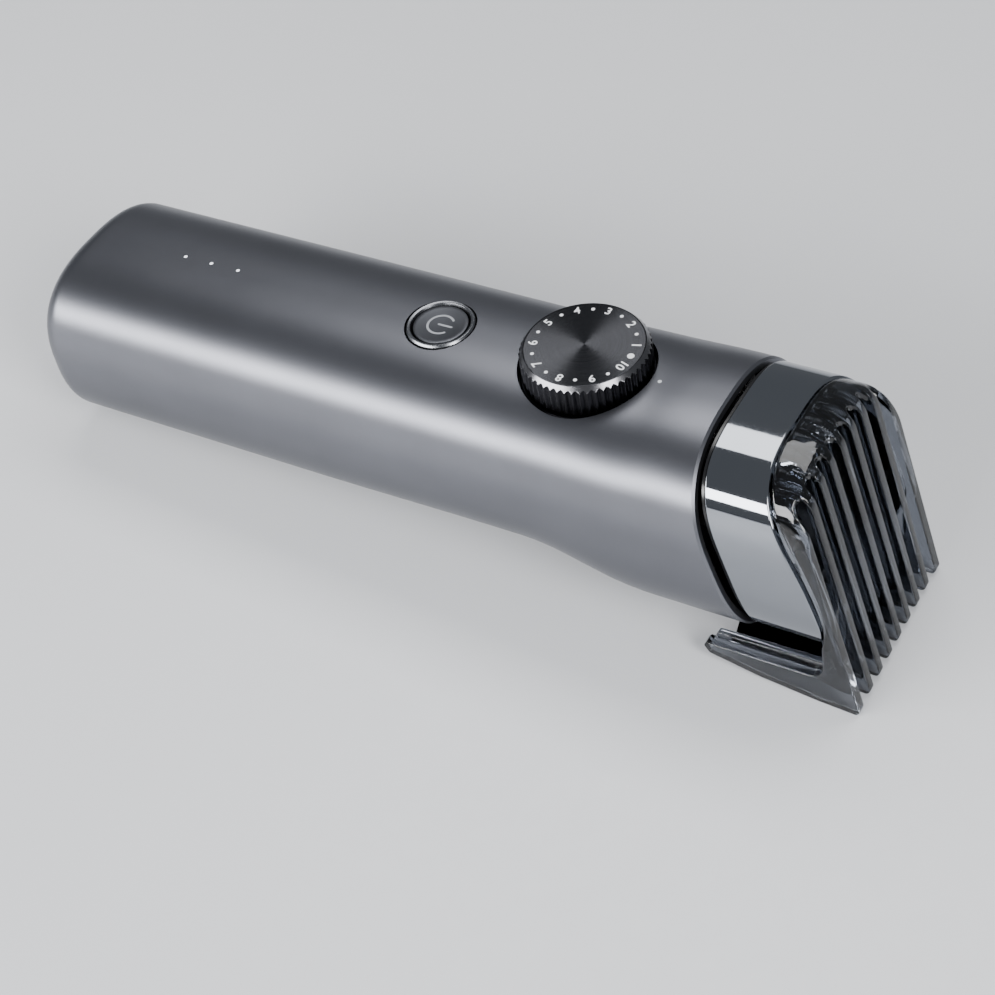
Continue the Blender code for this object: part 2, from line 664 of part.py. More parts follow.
def comb():
    shell = side_slab("comb", comb_side(), COMB_HALF_WIDTH + 0.001, "smoke_plastic")
    span = 2 * COMB_HALF_WIDTH
    arch = oval(COMB_HALF_WIDTH, BAND_TOP, span, BAND_POWER_TOP, BAND_POWER_TOP, 25, 0, 180)
    arch += [(-COMB_HALF_WIDTH, -0.035), (COMB_HALF_WIDTH, -0.035)]
    section = cross_slab("comb_section", arch, 0.020, 0.070)
    boolean(shell, section, "INTERSECT")
    slope = TOOTH_DEPTH / math.cos(COMB_LEAN)
    upper = front_point(0.0)
    lower_x, lower_z = front_point(0.0)
    lower_x += (lower_z - INNER_PRONG_TOP) * math.tan(COMB_LEAN) - slope
    ceiling = BAND_TOP - COMB_TOP_SKIN
    hollow = [(0.020, INNER_PRONG_TOP), (lower_x, INNER_PRONG_TOP)]
    hollow += [(upper[0] - slope, upper[1] - 0.001), (upper[0] - slope - 0.0015, ceiling)]
    hollow += [(0.020, ceiling)]
    half = COMB_HALF_WIDTH - COMB_WALL
    inner_arch = oval(half, ceiling, span, BAND_POWER_TOP, BAND_POWER_TOP, 25, 0, 180)
    inner_arch += [(-half, -0.035), (half, -0.035)]
    cavity = side_slab("comb_hollow", hollow, half + 0.001)
    boolean(cavity, cross_slab("comb_inner_section", inner_arch, 0.010, 0.070), "INTERSECT")
    cut(shell, cavity)
    gap = TOOTH_PITCH - TOOTH_THICKNESS
    slot = [(SLOT_START, 0.025), (SLOT_START, -0.020), (0.020, -0.020), (0.020, -0.040)]
    slot += [(0.070, -0.040), (0.070, 0.025)]
    for i in range(COMB_TEETH - 1):
        centre = (i - (COMB_TEETH - 2) / 2) * TOOTH_PITCH
        cut(shell, side_slab(f"comb_slot_{i + 1}", slot, gap / 2, None, centre))
    low = (0.020, -half, -0.035)
    cut(shell, box("prong_trim", low, (INNER_PRONG_TIP_X, half, -0.018)))
    for side in (-1, 1):
        inside, outside = sorted((side * 0.0150, side * 0.0166))
        join(shell, box(f"comb_tongue_{side}", (0.0365, inside, -0.0030), (0.0476, outside, 0.0030)))
    return shell


# Head.

def head_ring(x, lean, inset=0.0, count=AROUND):
    section = oval(
        BAND_HALF_WIDTH - inset,
        BAND_TOP - inset,
        BAND_BOTTOM - inset,
        BAND_POWER_TOP,
        BAND_POWER_BOTTOM,
        count,
    )
    return [(x - lean * z, y, z) for y, z in section]


def head_band():
    rear = head_ring(BAND_REAR, FRONT_LEAN)
    front = [(rim_x(z), y, z) for _, y, z in rear]
    rings = []
    for share in (0.0, 0.33, 0.67, 1.0):
        rings.append([tuple(Vector(a).lerp(Vector(b), share)) for a, b in zip(rear, front)])
    tube_shell("head_band", rings, BAND_WALL, "dark_chrome")


def front_bezel():
    """The black ring between the sleeve and the band, with a lip that the band fits over."""
    count = 30
    ends = (SLEEVE_FRONT + 2.5 * GAP, BAND_REAR - GAP)
    outer = [head_ring(x, FRONT_LEAN, 0.0005, count) for x in ends]
    bezel = tube_shell("front_bezel", outer, 0.0026, "black_plastic")
    ends = (0.0296, 0.0314)
    collar = [sleeve_ring(x, SLEEVE_WALL + 0.0008, FRONT_LEAN, count) for x in ends]
    join(bezel, tube_shell("bezel_collar", collar, 0.0017))
    ends = (0.0308, BEZEL_LIP_END)
    lip = [head_ring(x, FRONT_LEAN, BAND_WALL + GAP, count) for x in ends]
    join(bezel, tube_shell("bezel_lip", lip, 0.0012))


def blade_x(z):
    """The fixed blade's front face, which leans with the comb."""
    return BLADE_LEVEL_X - z * math.tan(COMB_LEAN)


def blade_outline(half_body, half_teeth, top, shoulder, tips, teeth):
    """A blade seen face on: a narrow body over a wide row of pointed teeth."""
    root = tips + BLADE_TOOTH_LENGTH
    pitch = BLADE_PITCH
    points = [(half_body, top), (-half_body, top), (-half_body, shoulder)]
    points += [(-half_teeth, shoulder), (-half_teeth, root)]
    for i in range(teeth):
        y = (i - (teeth - 1) / 2) * pitch
        points += [(y - 0.42 * pitch, root), (y - 0.14 * pitch, tips)]
        points += [(y + 0.14 * pitch, tips), (y + 0.42 * pitch, root)]
    return points + [(half_teeth, root), (half_teeth, shoulder), (half_body, shoulder)]


def blade_plane(behind):
    """The blades' plane, a distance behind the fixed blade's front face."""
    up = (-math.sin(COMB_LEAN), 0, math.cos(COMB_LEAN))
    out = Vector((math.cos(COMB_LEAN), 0, math.sin(COMB_LEAN)))
    return plane_matrix((0, 1, 0), up, Vector((BLADE_LEVEL_X, 0, 0)) - out * behind)


def cutter():
    start = BEZEL_LIP_END + 0.0004
    side = [(start - FRONT_LEAN * 0.0146, 0.0146), (0.0396, 0.0146)]
    side.append((blade_x(0.0130) - GAP, 0.0130))
    side += [(blade_x(-0.0074) - GAP, -0.0074), (blade_x(-0.0074) - BLADE_RECESS, -0.0074)]
    side.append((blade_x(-0.0180) - BLADE_RECESS, -0.0180))
    side.append((start + FRONT_LEAN * 0.0180, -0.0180))
    frame = side_slab("cutter_frame", side, CUTTER_HALF_WIDTH, "black_plastic")
    section = oval(0.0158, 0.0147, 0.0179, BAND_POWER_TOP, BAND_POWER_BOTTOM, 36)
    boolean(frame, cross_slab("cutter_section", section, 0.020, 0.060), "INTERSECT")
    room = [(0.0250, 0.0130), (0.0385, 0.0130), (blade_x(0.0110) - 0.0018, 0.0110)]
    room += [(blade_x(-0.0060) - 0.0018, -0.0060), (0.0500, -0.0060), (0.0500, -0.0151)]
    room += [(0.0250, -0.0151)]
    cut(frame, side_slab("cutter_room", room, CUTTER_HALF_WIDTH - CUTTER_WALL))
    matrix = blade_plane(FIXED_BLADE / 2)
    outline = blade_outline(0.0131, 0.0156, -0.0088, -0.0195, -0.0254, BLADE_TEETH)
    blade = toothed_slab("fixed_blade", outline, FIXED_BLADE, "steel", matrix)
    matrix = blade_plane(FIXED_BLADE + BLADE_GAP + MOVING_BLADE / 2)
    outline = blade_outline(0.0105, 0.0135, -0.0100, -0.0186, -0.0246, MOVING_TEETH)
    toothed_slab("moving_blade", outline, MOVING_BLADE, "steel", matrix)
    for side, name in ((-1, "right"), (1, "left")):
        place = blade_plane(0) @ Vector((side * 0.0121, -0.0125, 0))
        lean = (0, math.pi / 2 - COMB_LEAN, 0)
        hole = rod(f"blade_hole_{name}", 0.0007, 0.006, place, None, lean, 12)
        cut(blade, hole)
        cut(frame, hole)
        profile = [(0, 0.00065), (0.0011, 0.00050), (0.0011, 0.00025), (0.00045, 0.00025)]
        profile += [(0.00045, -0.0020), (0, -0.0022)]
        turned(f"blade_screw_{name}", profile, "steel", place, lean, 12)
    carrier = [(0.0388, 0.0005), (blade_x(0.0005) - BLADE_RECESS, 0.0005)]
    carrier += [(blade_x(-0.0147) - BLADE_RECESS, -0.0147), (0.0430, -0.0147), (0.0410, -0.0090)]
    carrier += [(0.0388, -0.0090)]
    yoke = side_slab("blade_carrier", carrier, 0.0085, "white_plastic")
    cut(yoke, box("yoke_slot", (0.0300, -0.0028, -0.0072), (0.0600, 0.0028, -0.0008)))
    blade_spring()


def blade_spring():
    """A bent wire behind the carrier, which presses the moving blade forward."""
    wire = bpy.data.curves.new("blade_spring", "CURVE")
    wire.dimensions = "3D"
    wire.bevel_depth = 0.00035
    wire.bevel_resolution = 2
    wire.use_fill_caps = True
    half = [(0.0376, -0.0075, -0.0135), (0.0376, -0.0075, -0.0070), (0.0368, -0.0085, 0.0050)]
    half += [(0.0362, -0.0070, 0.0090), (0.0360, -0.0040, 0.0105)]
    route = half + [(x, -y, z) for x, y, z in reversed(half)]
    spline = wire.splines.new("POLY")
    spline.points.add(len(route) - 1)
    for point, place in zip(spline.points, route):
        point.co = (*place, 1)
    obj = bpy.data.objects.new("blade_spring", wire)
    PARTS.objects.link(obj)
    obj.parent = FRAME
    wire.materials.append(material("steel"))


# Motor and drive.

def motor():
    length = MOTOR_FRONT - MOTOR_REAR
    can = [(MOTOR_RADIUS - 0.0006, length), (MOTOR_RADIUS, length - 0.0006)]
    can += [(MOTOR_RADIUS, 0), (MOTOR_RADIUS - 0.0007, 0), (MOTOR_RADIUS - 0.0007, length - 0.0008)]
    can += [(0.0014, length - 0.0008), (0.0014, length + 0.0016), (0.0030, length + 0.0016)]
    can += [(0.0030, length)]
    turned("motor_can", can, "steel", (MOTOR_REAR, 0, MOTOR_Z), ALONG_X, 32)
    bell_at = (MOTOR_REAR - GAP, 0, MOTOR_Z)
    bell = [(MOTOR_RADIUS, 0), (MOTOR_RADIUS, -0.0016), (0.0040, -0.0026), (0.0014, -0.0026)]
    bell.append((0.0014, 0))
    turned("motor_end_bell", bell, "black_plastic", bell_at, ALONG_X, 28)
    shaft_end = 0.0340
    start = MOTOR_REAR - 0.0020
    middle = ((start + shaft_end) / 2, 0, MOTOR_Z)
    rod("motor_shaft", 0.0010, shaft_end - start, middle, "steel", ALONG_X, 20)
    rotor = [(0.0056, 0.0190), (0.0056, 0.0050), (0.0013, 0.0050), (0.0013, 0.0190)]
    turned("motor_rotor", rotor, "brass", (MOTOR_REAR, 0, MOTOR_Z), ALONG_X, 24)
    for side, name in ((0, "upper"), (180, "lower")):
        outer = arc((0, 0), MOTOR_RADIUS - 0.0010, side + 25, side + 155, 12)
        inner = arc((0, 0), 0.0060, side + 155, side + 25, 12)
        points = [(y, MOTOR_Z + z) for y, z in outer + inner]
        cross_slab(f"motor_magnet_{name}", points, MOTOR_REAR + 0.004, MOTOR_REAR + 0.020, "magnet")
    hub = [(0.0030, 0.0060), (0.0030, 0), (0.0013, 0), (0.0013, 0.0052), (0.0008, 0.0060)]
    eccentric = turned("eccentric", hub, "white_plastic", (0.0290, 0, MOTOR_Z), ALONG_X, 28)
    pin_at = (0.0380, 0, MOTOR_Z + ECCENTRIC_THROW)
    join(eccentric, rod("eccentric_pin", 0.0010, 0.0070, pin_at, None, ALONG_X, 20))


clear_scene()
PARTS = collection("beard_trimmer")
CUTTERS = collection("cutters")
FRAME = bpy.data.objects.new("trimmer_frame", None)
PARTS.objects.link(FRAME)
FRAME.location = (FRAME_X, 0, FRAME_Z)

body_sleeve()
rear_end()
inner_frame()
frame_cover()
battery()
electronics()
power_button()
length_dial()
comb_carriage()
comb()
head_band()
front_bezel()
cutter()
motor()
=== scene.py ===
"""The visible pieces of a beard trimmer, built round its solid frame and set in a small studio."""

import math

import bmesh
import bpy
import numpy as np
from mathutils import Matrix, Vector


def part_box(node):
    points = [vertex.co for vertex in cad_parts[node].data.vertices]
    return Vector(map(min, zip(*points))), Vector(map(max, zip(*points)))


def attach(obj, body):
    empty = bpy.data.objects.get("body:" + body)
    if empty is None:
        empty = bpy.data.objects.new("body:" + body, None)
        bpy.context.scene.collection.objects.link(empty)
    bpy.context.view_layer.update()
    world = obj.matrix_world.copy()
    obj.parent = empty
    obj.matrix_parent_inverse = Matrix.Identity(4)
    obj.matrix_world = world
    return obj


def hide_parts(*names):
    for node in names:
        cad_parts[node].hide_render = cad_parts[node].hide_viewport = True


bl_info = {
    "name": "Beard trimmer pieces", "version": (1, 0, 0), "blender": (4, 5, 0),
    "location": "3D View > Sidebar > Trimmer",
    "description": "Builds the finished outer pieces of a beard trimmer around its frame",
    "category": "Add Mesh",
}

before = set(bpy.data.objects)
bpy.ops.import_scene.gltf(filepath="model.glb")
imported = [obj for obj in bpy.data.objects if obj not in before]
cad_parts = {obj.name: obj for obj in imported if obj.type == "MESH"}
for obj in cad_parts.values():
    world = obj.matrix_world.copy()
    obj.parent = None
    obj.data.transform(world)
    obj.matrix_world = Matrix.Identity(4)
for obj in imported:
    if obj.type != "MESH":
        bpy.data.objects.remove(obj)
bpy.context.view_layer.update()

# Places that come from the frame. X runs to the head, and the dial's axis is at X = 0 here.
SLEEVE_LOW, SLEEVE_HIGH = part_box("body_sleeve")
PLATE_LOW, PLATE_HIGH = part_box("dial_plate")
CAP_LOW, CAP_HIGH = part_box("button_cap")
LIGHTS = [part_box(f"charge_light_{number}") for number in (1, 2, 3)]
SLEEVE_HALF_HEIGHT = 0.0169
CROWN_RISE = 0.0006
ORIGIN = np.array(
    [(PLATE_LOW.x + PLATE_HIGH.x) / 2, 0.0, SLEEVE_HIGH.z - SLEEVE_HALF_HEIGHT - CROWN_RISE]
)
BUTTON_X = (CAP_LOW.x + CAP_HIGH.x) / 2 - ORIGIN[0]
LIGHTS_X = [(low.x + high.x) / 2 - ORIGIN[0] for low, high in LIGHTS]
SLEEVE_REAR = SLEEVE_LOW.x - ORIGIN[0] - 0.00017
DIAL_TOP = PLATE_HIGH.z - ORIGIN[2]
EDGE_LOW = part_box("dial_knurl")[0].z - ORIGIN[2]
SEAT_LOW, SEAT_HIGH = [corner.z - ORIGIN[2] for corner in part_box("dial_seat")]
TURN = 2 * math.pi
FACE_RADIUS = 0.01018
BORE_RADIUS = 0.0086
CHAMFER_DEPTH = 0.00105
SEAT_RADIUS, DIAL_HOLE = 0.0115, 0.0118
BUTTON_HOLE, BUTTON_RING_TOP = 0.00638, 0.01718
INDEX_X, INDEX_RADIUS = 0.0134, 0.00034
LENS_RADIUS, LENS_TOP = 0.00034, 0.01690
LEAN = 0.264
COMB_LEAN = math.radians(12.4)
SLOT_START = 0.0433
COMB_CORNER_X, COMB_CORNER_RADIUS = 0.0410, 0.0045
COMB_TIP_X = 0.0547
SOLE_LEVEL = -0.0251
SOLE_BEND_X = 0.0364
WALL_INNER_Y = 0.01587
SLEEVE_FRONT = 0.0304
BAND_REAR = 0.0319
FLOOR_TILT = 0.0768
FLOOR_LEVEL = 0.00622
CAMERA_PLACE = (0.16767, -0.21111, 0.26983)
CAMERA_RIGHT = (0.8599, 0.4890, -0.1467)
CAMERA_BACK = (0.4385, -0.5604, 0.7026)


# Settings.


def length(name, description, default):
    return bpy.props.FloatProperty(
        name=name, description=description, default=default, min=0.0, subtype="DISTANCE",
        unit="LENGTH", precision=5,
    )


def colour(name, description, default):
    return bpy.props.FloatVectorProperty(
        name=name, description=description, default=default, size=3, subtype="COLOR", min=0, max=1
    )


def share(name, description, default):
    return bpy.props.FloatProperty(
        name=name, description=description, default=default, min=0, max=1, subtype="FACTOR"
    )


class SleeveSettings(bpy.types.PropertyGroup):
    half_width: length("Half width", "Half of the sleeve's width behind the dial", 0.0200)
    wall: length("Wall", "Thickness of the drawn metal sleeve", 0.0015)
    rear_round: length("Rear round", "Radius that the rear edge turns in by", 0.0050)
    edge: length("Front edge", "Bright chamfer along the front edge", 0.00035)
    metal: colour("Metal", "Bead-blasted gunmetal", (0.150, 0.154, 0.172))
    roughness: share("Roughness", "How far the blasted metal spreads a highlight", 0.36)


class HeadSettings(bpy.types.PropertyGroup):
    half_width: length("Half width", "Half of the head band's width", 0.0186)
    top: length("Top", "Height of the band above the sleeve's axis", 0.0168)
    bottom: length("Bottom", "Depth of the band below the sleeve's axis", 0.0196)
    wall: length("Wall", "Thickness of the band", 0.0012)
    edge: length("Edge", "Rounding of the band's two rims", 0.00025)
    chrome: colour("Chrome", "Dark mirror chrome", (0.27, 0.285, 0.31))


class CombSettings(bpy.types.PropertyGroup):
    half_width: length("Half width", "Half of the comb's width", 0.0180)
    pitch: length("Tooth pitch", "Distance between neighbouring teeth", 0.00413)
    tooth: length("Tooth thickness", "Thickness of each inner tooth", 0.0017)
    depth: length("Tooth depth", "Depth of a tooth behind the front face", 0.0040)
    skin: length("Top skin", "Thickness of the bridge over the teeth", 0.0016)
    edge: length("Edge", "Rounding along the teeth", 0.00028)
    smoke: colour("Smoke", "Tint of the clear plastic", (0.19, 0.205, 0.235))


class DialSettings(bpy.types.PropertyGroup):
    radius: length("Radius", "Outer radius of the fluted edge", 0.0111)
    ribs: bpy.props.IntProperty(
        name="Ribs", description="Number of flutes round the edge", default=54, min=12
    )
    flute: length("Flute depth", "Depth of the valley between two ribs", 0.00034)
    ring: length("Number ring", "Radius that the numbers stand on", 0.0087)
    digit: length("Digit height", "Type size of the numbers", 0.00225)
    black: colour("Black", "Anodised black metal", (0.020, 0.020, 0.023))
    paint: colour("Paint", "Printed numbers and dots", (0.80, 0.81, 0.83))


class ButtonSettings(bpy.types.PropertyGroup):
    ring: length("Ring", "Outer radius of the bright ring", 0.00608)
    cap: length("Cap", "Radius of the pressed cap", 0.0049)
    symbol: length("Symbol", "Radius of the power symbol's arc", 0.0023)
    stroke: length("Stroke", "Line width of the power symbol", 0.00040)
    grey: colour("Grey", "Satin cap", (0.085, 0.088, 0.098))


class StudioSettings(bpy.types.PropertyGroup):
    floor: colour("Floor", "Pale floor", (0.62, 0.63, 0.65))
    lens: bpy.props.FloatProperty(
        name="Lens", description="Focal length on a 36 mm sensor", default=73.9, min=10
    )
    key: bpy.props.FloatProperty(
        name="Key light", description="Strength of the long softbox", default=12.0, min=0
    )
    sky: bpy.props.FloatProperty(
        name="Sky", description="Strength of the even light all round", default=0.28, min=0
    )


class TrimmerSettings(bpy.types.PropertyGroup):
    sleeve: bpy.props.PointerProperty(
        type=SleeveSettings, name="Sleeve", description="Sizes of the metal sleeve"
    )
    head: bpy.props.PointerProperty(
        type=HeadSettings, name="Head", description="Sizes of the chrome head band"
    )
    comb: bpy.props.PointerProperty(
        type=CombSettings, name="Comb", description="Sizes of the sliding comb"
    )
    dial: bpy.props.PointerProperty(
        type=DialSettings, name="Dial", description="Sizes of the length dial"
    )
    button: bpy.props.PointerProperty(
        type=ButtonSettings, name="Button", description="Sizes of the power button"
    )
    studio: bpy.props.PointerProperty(
        type=StudioSettings, name="Studio", description="Floor, lights and camera"
    )


# Finishes.


class Nodes:
    """Adds nodes to a material one after another, and links them."""

    def __init__(self, name):
        self.material = bpy.data.materials.new(name)
        self.material.use_nodes = True
        self.tree = self.material.node_tree
        self.shader = self.tree.nodes["Principled BSDF"]

    def add(self, kind, inputs=None, **fields):
        node = self.tree.nodes.new(kind)
        for field, value in fields.items():
            setattr(node, field, value)
        for socket, value in (inputs or {}).items():
            if isinstance(value, bpy.types.NodeSocket):
                self.tree.links.new(value, node.inputs[socket])
            else:
                node.inputs[socket].default_value = value
        return node

    def set(self, **values):
        for socket, value in values.items():
            target = self.shader.inputs[socket.replace("_", " ").title().replace("Ior", "IOR")]
            if isinstance(value, bpy.types.NodeSocket):
                self.tree.links.new(value, target)
            else:
                target.default_value = value

    def noise(self, scale, detail=3.0, stretch=(1, 1, 1), source="Object", roughness=0.5):
        place = self.add("ShaderNodeTexCoord")
        mapping = self.add(
            "ShaderNodeMapping", {"Vector": place.outputs[source], "Scale": stretch}
        )
        made = self.add(
            "ShaderNodeTexNoise",
            {
                "Vector": mapping.outputs["Vector"], "Scale": scale, "Detail": detail,
                "Roughness": roughness,
            },
        )
        return made.outputs["Fac"]

    def between(self, fac, low, high, start=0.3, end=0.7):
        made = self.add(
            "ShaderNodeMapRange",
            {"Value": fac, "From Min": start, "From Max": end, "To Min": low, "To Max": high},
        )
        return made.outputs["Result"]

    def mix(self, fac, first, second):
        made = self.add("ShaderNodeMix", {"Factor": fac}, data_type="RGBA")
        for socket, value in ((made.inputs[6], first), (made.inputs[7], second)):
            if isinstance(value, bpy.types.NodeSocket):
                self.tree.links.new(value, socket)
            else:
                socket.default_value = (*value, 1.0)
        return made.outputs[2]

    def bump(self, height, strength, distance, normal=None):
        inputs = {"Height": height, "Strength": strength, "Distance": distance}
        if normal:
            inputs["Normal"] = normal
        return self.add("ShaderNodeBump", inputs).outputs["Normal"]


def shade(tint, amount):
    return tuple(min(1.0, part * amount) for part in tint)


def surface(
    name, tint, metallic=0.0, roughness=0.4, spread=0.05, vary=0.12, cloud=90.0, grain=4000.0,
    grain_height=0.00001, grain_strength=0.2, stretch=(1, 1, 1), coat=0.0,
):
    """A finish whose tint and roughness drift in soft clouds, over a fine grain in relief."""
    made = bpy.data.materials.get(name)
    if made:
        return made
    nodes = Nodes(name)
    drift = nodes.noise(cloud, 4.0, stretch)
    fine = nodes.noise(grain, 2.0, stretch)
    tone = nodes.between(drift, 0.0, 1.0)
    nodes.set(
        base_color=nodes.mix(tone, shade(tint, 1 - vary), shade(tint, 1 + vary)),
        roughness=nodes.between(fine, max(0.01, roughness - spread), roughness + spread),
        metallic=metallic, coat_weight=coat, coat_roughness=0.05,
        normal=nodes.bump(fine, grain_strength, grain_height),
    )
    return nodes.material


def smoke_plastic(name, tint):
    """Clear smoke-grey plastic with a faint flow waviness from the mould."""
    nodes = Nodes(name)
    flow = nodes.noise(140.0, 2.0, (1.0, 2.2, 0.5))
    dust = nodes.noise(2600.0, 2.0)
    nodes.set(
        base_color=nodes.mix(nodes.between(flow, 0, 1), shade(tint, 0.93), shade(tint, 1.05)),
        roughness=nodes.between(dust, 0.015, 0.05), transmission_weight=1.0, ior=1.49,
        normal=nodes.bump(flow, 0.10, 0.00005),
    )
    return nodes.material


def spun_black(name, tint):
    """Black anodised metal turned on a lathe: rings too fine to see, which stretch a highlight."""
    nodes = Nodes(name)
    rings = nodes.noise(60.0, 3.0, (0.02, 30.0, 1.0), "UV")
    nodes.set(
        base_color=nodes.mix(nodes.between(rings, 0, 1), shade(tint, 0.8), shade(tint, 1.6)),
        roughness=nodes.between(rings, 0.20, 0.32), metallic=1.0, anisotropic=0.9,
        normal=nodes.bump(rings, 0.05, 0.00001),
    )
    tangent = nodes.add("ShaderNodeTangent", direction_type="UV_MAP", uv_map="UVMap")
    nodes.set(tangent=tangent.outputs["Tangent"])
    return nodes.material


def printed(name, tint):
    """Opaque print with a slightly uneven film."""
    return surface(name, tint, 0.0, 0.5, 0.06, 0.06, 900.0, 5000.0, 0.000008, 0.3)


def lit(name, tint, strength):
    """A frosted lens over a small lamp: brighter in the middle of its cloudiness."""
    nodes = Nodes(name)
    frost = nodes.noise(3000.0, 2.0)
    nodes.set(
        base_color=nodes.mix(frost, shade(tint, 0.9), tint),
        roughness=nodes.between(frost, 0.3, 0.5), emission_color=(*tint, 1.0),
        emission_strength=strength,
    )
    return nodes.material


def board_green(name):
    """A circuit board: green lacquer over copper tracks laid in short straight runs."""
    nodes = Nodes(name)
    place = nodes.add("ShaderNodeTexCoord")
    tracks = nodes.add(
        "ShaderNodeTexBrick",
        {
            "Vector": place.outputs["Object"], "Scale": 420.0, "Mortar Size": 0.09,
            "Color1": (0.012, 0.085, 0.040, 1), "Color2": (0.016, 0.105, 0.050, 1),
            "Mortar": (0.05, 0.20, 0.09, 1),
        },
    )
    nodes.set(
        base_color=tracks.outputs["Color"], roughness=0.35,
        normal=nodes.bump(tracks.outputs["Fac"], 0.3, 0.00004),
    )
    return nodes.material


def wound_copper(name):
    """Lacquered copper windings: fine turns side by side."""
    nodes = Nodes(name)
    place = nodes.add("ShaderNodeTexCoord")
    turns = nodes.add(
        "ShaderNodeTexWave",
        {"Vector": place.outputs["Object"], "Scale": 700.0, "Distortion": 0.6},
        bands_direction="X",
    )
    nodes.set(
        base_color=nodes.mix(turns.outputs["Fac"], (0.24, 0.07, 0.02), (0.72, 0.30, 0.12)),
        roughness=0.35, metallic=1.0, normal=nodes.bump(turns.outputs["Fac"], 0.5, 0.0001),
    )
    return nodes.material


# Shapes.


def smoothstep(value, start, end):
    part = np.clip((value - start) / (end - start), 0.0, 1.0)
    return part * part * (3 - 2 * part)


def superellipse(angle, half_width, top, bottom, power_top, power_bottom):
    """Y and Z where |y/a|^p + |z/b|^p = 1 at an angle seen from the middle.

    The half above the axis has its own height and power, and so has the half below.
    """
    y, z = np.cos(angle), np.sin(angle)
    upper = z >= 0
    height = np.where(upper, top, bottom)
    power = np.where(upper, power_top, power_bottom)
    reach = (np.abs(y / half_width) ** power + np.abs(z / height) ** power) ** (-1 / power)
    return y * reach, z * reach


def fillet(points, radii, steps=5, closed=True):
    """A polygon with rounded corners.

    Each corner becomes an arc between the two points that stand radius / tan(half the corner)
    from it along its sides.
    """
    points = np.asarray(points, float)
    radii = np.broadcast_to(radii, len(points))
    made = []
    for i, (corner, radius) in enumerate(zip(points, radii)):
        if radius <= 0 or (not closed and i in (0, len(points) - 1)):
            made.append(corner[None])
            continue
        to_last = points[i - 1] - corner
        to_next = points[(i + 1) % len(points)] - corner
        last_length, next_length = np.linalg.norm(to_last), np.linalg.norm(to_next)
        to_last, to_next = to_last / last_length, to_next / next_length
        half = math.acos(max(-1.0, min(1.0, float(to_last @ to_next)))) / 2
        if half > math.radians(89):
            made.append(corner[None])
            continue
        back = min(radius / math.tan(half), 0.48 * last_length, 0.48 * next_length)
        radius = back * math.tan(half)
        inward = (to_last + to_next) / np.linalg.norm(to_last + to_next)
        centre = corner + inward * radius / math.sin(half)
        first = corner + to_last * back - centre
        last = corner + to_next * back - centre
        sweep = math.pi - 2 * half
        part = np.linspace(0, 1, steps + 1)[:, None]
        made.append(
            centre
            + (np.sin((1 - part) * sweep) * first + np.sin(part * sweep) * last) / math.sin(sweep)
        )
    return np.concatenate(made)


def quads(rows, columns, wrap_rows, wrap_columns):
    """The four corners of each cell in a grid of rows by columns points."""
    row = np.arange(rows if wrap_rows else rows - 1)[:, None]
    column = np.arange(columns if wrap_columns else columns - 1)[None, :]
    next_row, next_column = (row + 1) % rows, (column + 1) % columns
    corners = (
        row * columns + column, row * columns + next_column, next_row * columns + next_column,
        next_row * columns + column,
    )
    return np.stack(np.broadcast_arrays(*corners), axis=-1).reshape(-1, 4)


def closed_mesh(name, parts, sharp=38.0, merge=4e-7):
    """One mesh from (points, faces) parts, its doubles merged and its faces turned outwards."""
    mesh = bpy.data.meshes.new(name)
    points, faces, start = [], [], 0
    for part_points, part_faces in parts:
        flat = np.asarray(part_points).reshape(-1, 3)
        points.append(flat + ORIGIN)
        faces += [[int(i) + start for i in face] for face in part_faces]
        start += len(flat)
    mesh.from_pydata(np.concatenate(points), [], faces)
    shape = bmesh.new()
    shape.from_mesh(mesh)
    bmesh.ops.remove_doubles(shape, verts=shape.verts, dist=merge)
    bmesh.ops.recalc_face_normals(shape, faces=shape.faces)
    shape.to_mesh(mesh)
    shape.free()
    mesh.shade_smooth()
    mesh.set_sharp_from_angle(angle=math.radians(sharp))
    return mesh


def grid(points, wrap_rows=True, wrap_columns=True):
    return points, quads(points.shape[0], points.shape[1], wrap_rows, wrap_columns)


def carried_round(radius, height, angle, centre=(0, 0)):
    """A row of points for each height and a column for each angle."""
    return np.stack(
        [
            centre[0] + radius * np.cos(angle), centre[1] + radius * np.sin(angle),
            np.broadcast_to(height[:, None], (len(height), len(angle))),
        ],
        axis=-1,
    )


def lathe(profile, steps=96, centre=(0, 0)):
    """A closed (radius, height) profile carried round a vertical axis."""
    angle = np.linspace(0, TURN, steps, endpoint=False)
    radius, height = np.asarray(profile, float).T
    return grid(carried_round(radius[:, None], height, angle, centre))


def piece(name, mesh, finish, body, replaced=()):
    """Adds a finished mesh to the scene, riding on its body."""
    obj = bpy.data.objects.new(name, mesh)
    bpy.context.scene.collection.objects.link(obj)
    mesh.materials.clear()
    mesh.materials.append(finish)
    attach(obj, body)
    if replaced:
        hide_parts(*replaced)
    return obj


def combined(name, first, others, operation, sharp=30.0):
    """The mesh that an exact Boolean makes of one closed mesh and the others in turn."""
    obj = bpy.data.objects.new(name, first)
    bpy.context.scene.collection.objects.link(obj)
    helpers = []
    for other in others:
        helper = bpy.data.objects.new(f"{name}_tool", other)
        bpy.context.scene.collection.objects.link(helper)
        helpers.append(helper)
        step = obj.modifiers.new(operation.lower(), "BOOLEAN")
        step.operation, step.solver, step.object = operation, "EXACT", helper
    bpy.context.view_layer.update()
    graph = bpy.context.evaluated_depsgraph_get()
    mesh = bpy.data.meshes.new_from_object(obj.evaluated_get(graph))
    mesh.name = name
    for used in [obj, *helpers]:
        bpy.data.objects.remove(used, do_unlink=True)
    mesh.shade_smooth()
    mesh.set_sharp_from_angle(angle=math.radians(sharp))
    return mesh


# Sleeve.


